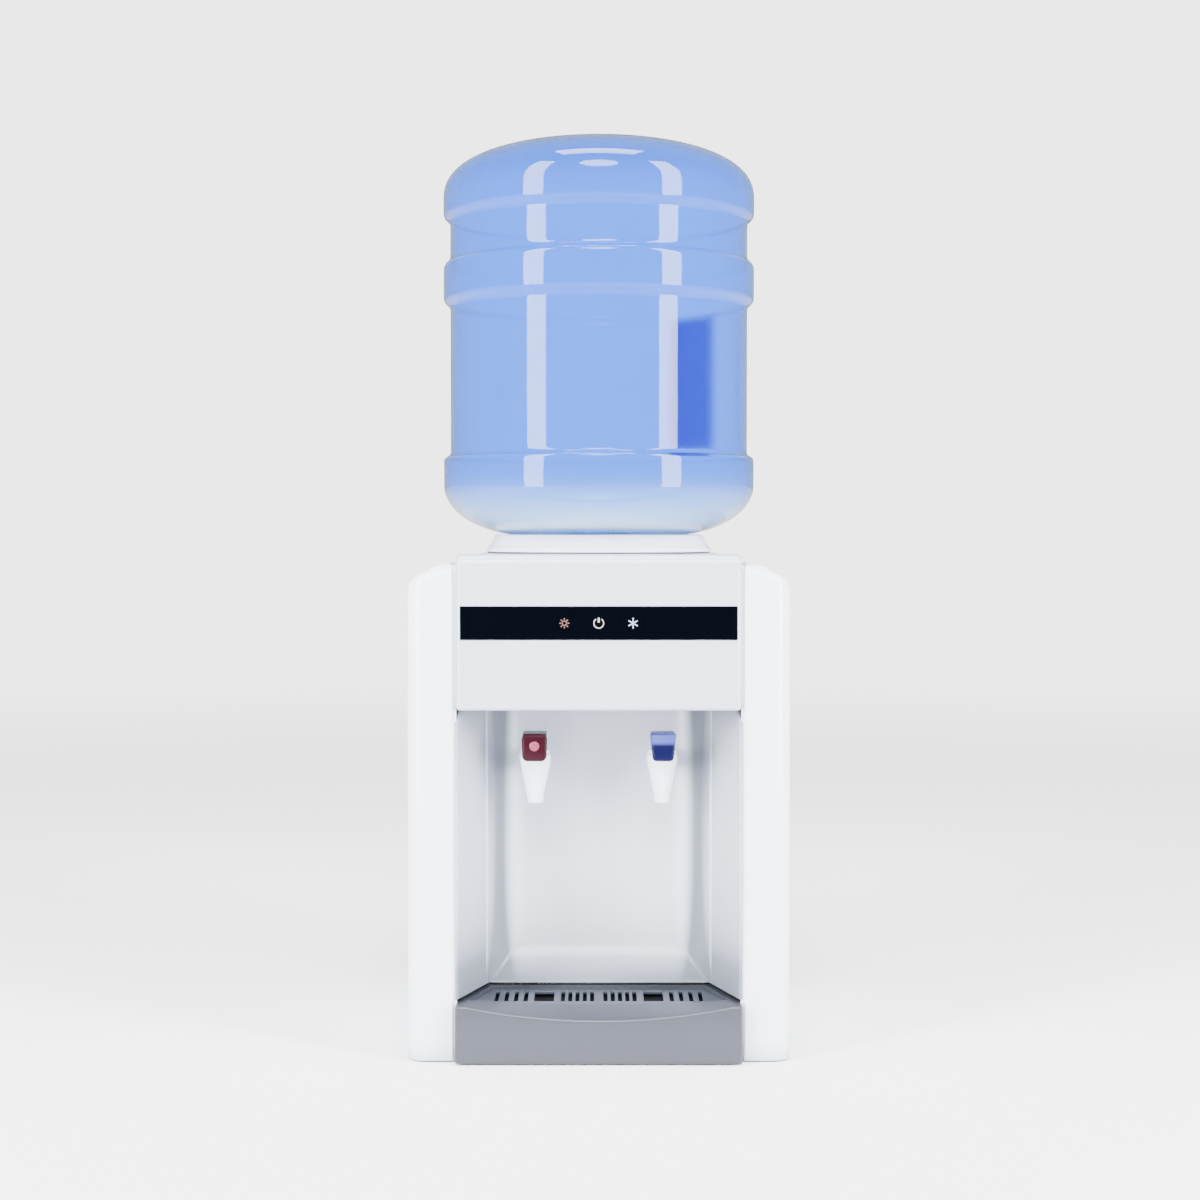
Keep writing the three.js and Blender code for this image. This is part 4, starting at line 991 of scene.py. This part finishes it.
def makeGrille():
    g = grilleShape
    x0, x1, y0, y1, z0, z1 = edgesInMm("tray_grille")
    # a row of slots is its first place, pitch and count
    spans = [(g["drain"][0] - g["drain"][1], g["drain"][0] + g["drain"][1])]
    for first, pitch, count in (g["centre"], g["outer"]):
        for place in first + pitch * np.arange(count):
            spans.append((place - g["slot"] / 2, place + g["slot"] / 2))
    spans = spans + [(-b, -a) for a, b in spans]
    cuts = np.unique(np.concatenate([np.ravel(spans), [-g["inside"], g["inside"], 0]]))
    edgesX = np.concatenate([[-1.0], cuts, [1.0]])  # the outermost columns follow the slanted edge
    steps = np.array([0, g["margin"], g["crossBar"]])
    depth = np.unique(np.concatenate([y0 + steps, y1 - steps, [y0 + 2, (y0 + y1) / 2, y1 - 4]]))
    halves = trayHalfAt(depth, 0)
    points = np.empty((len(depth), len(edgesX), 3))
    points[..., 0] = edgesX[None]
    points[:, 0, 0] = -halves
    points[:, -1, 0] = halves
    points[..., 1] = depth[:, None]
    points[..., 2] = z1
    middleX = (points[:-1, :-1, 0] + points[:-1, 1:, 0]) / 2
    rowInside = (depth[:-1] >= y0 + g["margin"] - 0.1) & (depth[1:] <= y1 - g["margin"] + 0.1)
    inSlot = np.zeros_like(middleX, bool)
    for a, b in spans:
        inSlot |= (middleX > a) & (middleX < b)
    keep = ~(inSlot & rowInside[:, None])
    piece = objectFrom("grille", gridMesh("grille", points * mm, keep=keep))
    thickened(piece, g["thickness"] * mm)
    bevelled(piece, 0.6 * mm, 3, 50)
    standFor(piece, "grillePlastic", "tray_grille")
    print("grille made")


# taps: bored spout and barrel, shank, bonnet and lever
tapShape = {
    "spout": 6.5, "barrel": 13, "bore": 4, "shank": 8,
    "axis": (-105, 235),  # depth of the barrel's axis and height of the shank's
    "seat": (9, 229, 224),  # radius, floor and foot of the valve seat
    "flange": (10, -48.8, -45.9),  # radius, front and back
    "forkHeights": (251.6, 256.4),
    "forkHalf": (2.9, 4.7),
    "leverBack": -124.5,  # where the paddle ends and roof and fork begin
    "paddleRound": 2.4,
}


def makeTap(kind):
    x0, x1, y0, y1, z0, z1 = edgesInMm(kind + "_tap_body")
    t = tapShape
    x = (x0 + x1) / 2
    y, height = t["axis"]
    seat, seatFloor, seatFoot = t["seat"]
    flange, front, back = t["flange"]
    corners = [(t["bore"], z0, 0.6), (t["spout"], z0, 1.2), (t["spout"] + 0.9, z0 + 7, 8),
               (t["barrel"] - 0.2, z1 - 7, 7), (t["barrel"], z1 - 1, 0.7), (t["barrel"] - 1.2, z1, 0.5),
               (seat, z1, 0.4), (seat, seatFloor, 1), (t["bore"], seatFoot, 1)]
    barrel = turnedGrid(filleted(corners, closed=True, steps=6) * mm, x * mm, y * mm, 64)
    shank = filleted([(t["shank"] - 0.5, y + 11, 0), (t["shank"], y + 12, 0.5),
                      (t["shank"], front - 0.4, 0.5), (flange, front, 0.4), (flange, back, 0.4),
                      (t["shank"], back + 0.3, 0.4), (t["shank"], y1, 0.6), (t["bore"] + 0.5, y1, 0.4),
                      (t["bore"] + 0.5, y + 11, 0.2)], closed=True, steps=5)
    pipe = turnedGrid(shank * mm, x * mm, height * mm, 48, axis="y")
    mesh = joinedMesh(kind + "_tap", [dict(points=barrel, wrapRows=True, wrapCols=True),
                                      dict(points=pipe, wrapRows=True, wrapCols=True)])
    standFor(objectFrom(kind + "_tap", mesh), "whitePlastic", kind + "_tap_body")
    makeLever(kind, x)


def paddle(outline, front, back, lean):
    # outline (n, 2) in XZ is carried from front to back; near the front it shrinks round a quarter
    # circle, and lean(z) moves the whole front back
    radius = tapShape["paddleRound"]
    away = outline - outline.mean(0)
    away /= np.linalg.norm(away, axis=1)[:, None]
    rows = []
    for turn in np.radians(np.linspace(0, 90, 6)):
        x, z = (outline - away * radius * (1 - math.sin(turn))).T
        rows.append(np.column_stack([x, front + radius * (1 - math.cos(turn)) + lean(z), z]))
    rows.append(np.column_stack([outline[:, 0], np.maximum(back, rows[-1][:, 1] + 0.5), outline[:, 1]]))
    return block(np.stack(rows) * mm)


def makeLever(kind, x):
    # paddle in front, roof that reaches back over the plunger, and the fork under its head
    node = kind + "_tap_lever"
    x0, x1, y0, y1, z0, z1 = edgesInMm(node)
    back = tapShape["leverBack"]
    top, bottom, lowRound, topRound = ((10.6, 9.9, 4.5, 4.5), (10.9, 8.4, 3.2, 1.2))[kind == "cold"]
    outline = filleted([(x - bottom, z0, lowRound), (x + bottom, z0, lowRound), (x + top, z1, topRound),
                        (x - top, z1, topRound)], closed=True, steps=8)
    slope = (0.12, 0.42)[kind == "cold"]

    def lean(z):
        return slope * np.maximum(z - (z0 + z1) / 2, 0)

    roof = roundedLoop(9.6, (y1 - back) / 2, 2, 6) + (x, (y1 + back) / 2)
    grids = [paddle(outline, y0, back + 1, lean),
             block(np.stack([atHeight(roof, z) for z in (z1 - 3.2, z1 - 0.3)]) * mm)]
    inner, outer = tapShape["forkHalf"]
    low, high = tapShape["forkHeights"]
    for start, end, front, rear in ((-outer, -inner, back, -99.6), (inner, outer, back, -99.6),
                                    (-outer, outer, back + 0.1, -117.9)):
        box = np.array([x + start, x + end, front, rear, low, high])
        grids.append(slab(*(box * mm), 0.5 * mm))
    piece = objectFrom(kind + "_lever", joinedMesh(kind + "_lever", grids))
    standFor(piece, "hotRed" if kind == "hot" else "coldBlue", node)


def makeButton():
    # low dome: radius falls as the cosine while the front face rises as the sine
    x0, x1, y0, y1, z0, z1 = edgesInMm("hot_safety_button")
    radius = (x1 - x0) / 2 - 0.3
    turn = np.radians(np.linspace(90, 0, 8))
    dome = np.stack([radius * np.cos(turn) ** 0.7, y0 + 1.6 * (1 - np.sin(turn))], -1)
    profile = np.concatenate([dome, [(radius, y1 - 0.3), (radius - 0.3, y1), (0, y1)]])
    profile[0, 0] = 0
    grid = turnedGrid(profile * mm, (x0 + x1) / 2 * mm, (z0 + z1) / 2 * mm, 40, axis="y")
    mesh = gridMesh("safety_button", grid, wrapRows=True, closed=True)
    standFor(objectFrom("safety_button", mesh), "buttonPink", "hot_safety_button")


# condenser: bent tube with fine upright wires on its outside
condenserShape = {"runs": 9, "wires": 27, "wire": 0.8, "wireInset": 14}


def makeCondenser():
    c = condenserShape
    x0, x1, y0, y1, z0, z1 = edgesInMm("condenser_grid")
    radius = (y1 - y0) / 2
    y = (y0 + y1) / 2
    pitch = (z1 - z0 - 2 * radius) / (c["runs"] - 1)
    half = x1 - radius - pitch / 2
    path = []
    for run in range(c["runs"]):
        z = z0 + radius + run * pitch
        side = 1 if run % 2 == 0 else -1
        path.append(np.stack([np.linspace(-side, side, 18) * half, np.full(18, z)], -1))
        if run < c["runs"] - 1:
            bend = arc((0, 0), pitch / 2, -90, 90, 10)[1:-1]
            path.append(np.stack([side * (half + bend[:, 0]), z + pitch / 2 + bend[:, 1]], -1))
    line = np.concatenate(path)
    route = np.column_stack([line[:, 0], np.full(len(line), y), line[:, 1]])
    grids = [block(tubeGrid(route * mm, (radius - 0.6) * mm, 10))]
    for x in np.linspace(x0 + c["wireInset"], x1 - c["wireInset"], c["wires"]):
        for depth in (y0 + c["wire"], y1 - c["wire"]):
            wire = np.stack([np.full(6, x), np.full(6, depth), np.linspace(z0, z1, 6)], -1)
            grids.append(block(tubeGrid(wire * mm, c["wire"] * mm, 6)))
    standFor(objectFrom("condenser", joinedMesh("condenser", grids)), "blackPaint", "condenser_grid")
    print("condenser made")


# CAD nodes that keep their shape: welded copies with their edges rounded by these widths in millimetres
roundedNodes = {
    "rear_cover": 0.5, "base_plate": 0.4, "power_inlet": 0.6, "heat_switch_frame": 0.6,
    "cool_switch_frame": 0.6, "heat_switch": 0.4, "cool_switch": 0.4, "drain_spout": 0.4, "drain_cap": 0.8,
    "condenser_bracket_lower": 0.5, "condenser_bracket_upper": 0.5, "hot_tap_bonnet": 0.3,
    "cold_tap_bonnet": 0.3, "hot_tap_nut": 0.4, "cold_tap_nut": 0.4, "indicator_board": 0.1,
    "compressor": 0.8,
}
# finishes whose names aren't their slot's own
finishOfSlot = {
    "white_housing": "whitePlastic", "white_inner": "innerWhite", "niche_liner": "nichePlastic",
    "silver_trim": "silverPaint", "grille_grey": "grillePlastic", "display_black": "displayGloss",
}


def finishFor(node):
    first, *others = slotOf[node].split("_")
    return finishOfSlot.get(slotOf[node], first + "".join(word.capitalize() for word in others))


def finishCadNodes():
    for node, width in roundedNodes.items():
        softened(node, width * mm, finishFor(node))
    for node, thing in frame["nodes"].items():
        thing.data.materials.clear()
        thing.data.materials.append(materials[finishFor(node)])
    print("CAD nodes finished")


makeMaterials()
studioSetup()
makeBottle()
makeCollar()
for panelNode, panelSide in (("side_panel_left", -1), ("side_panel_right", 1)):
    makeSidePanel(panelNode, panelSide)
print("side panels made")
makeTopCover()
makeFascia()
makeDisplay()
makeNiche()
makeTray()
makeGrille()
for tapKind in ("hot", "cold"):
    makeTap(tapKind)
makeButton()
print("taps made")
makeCondenser()
finishCadNodes()
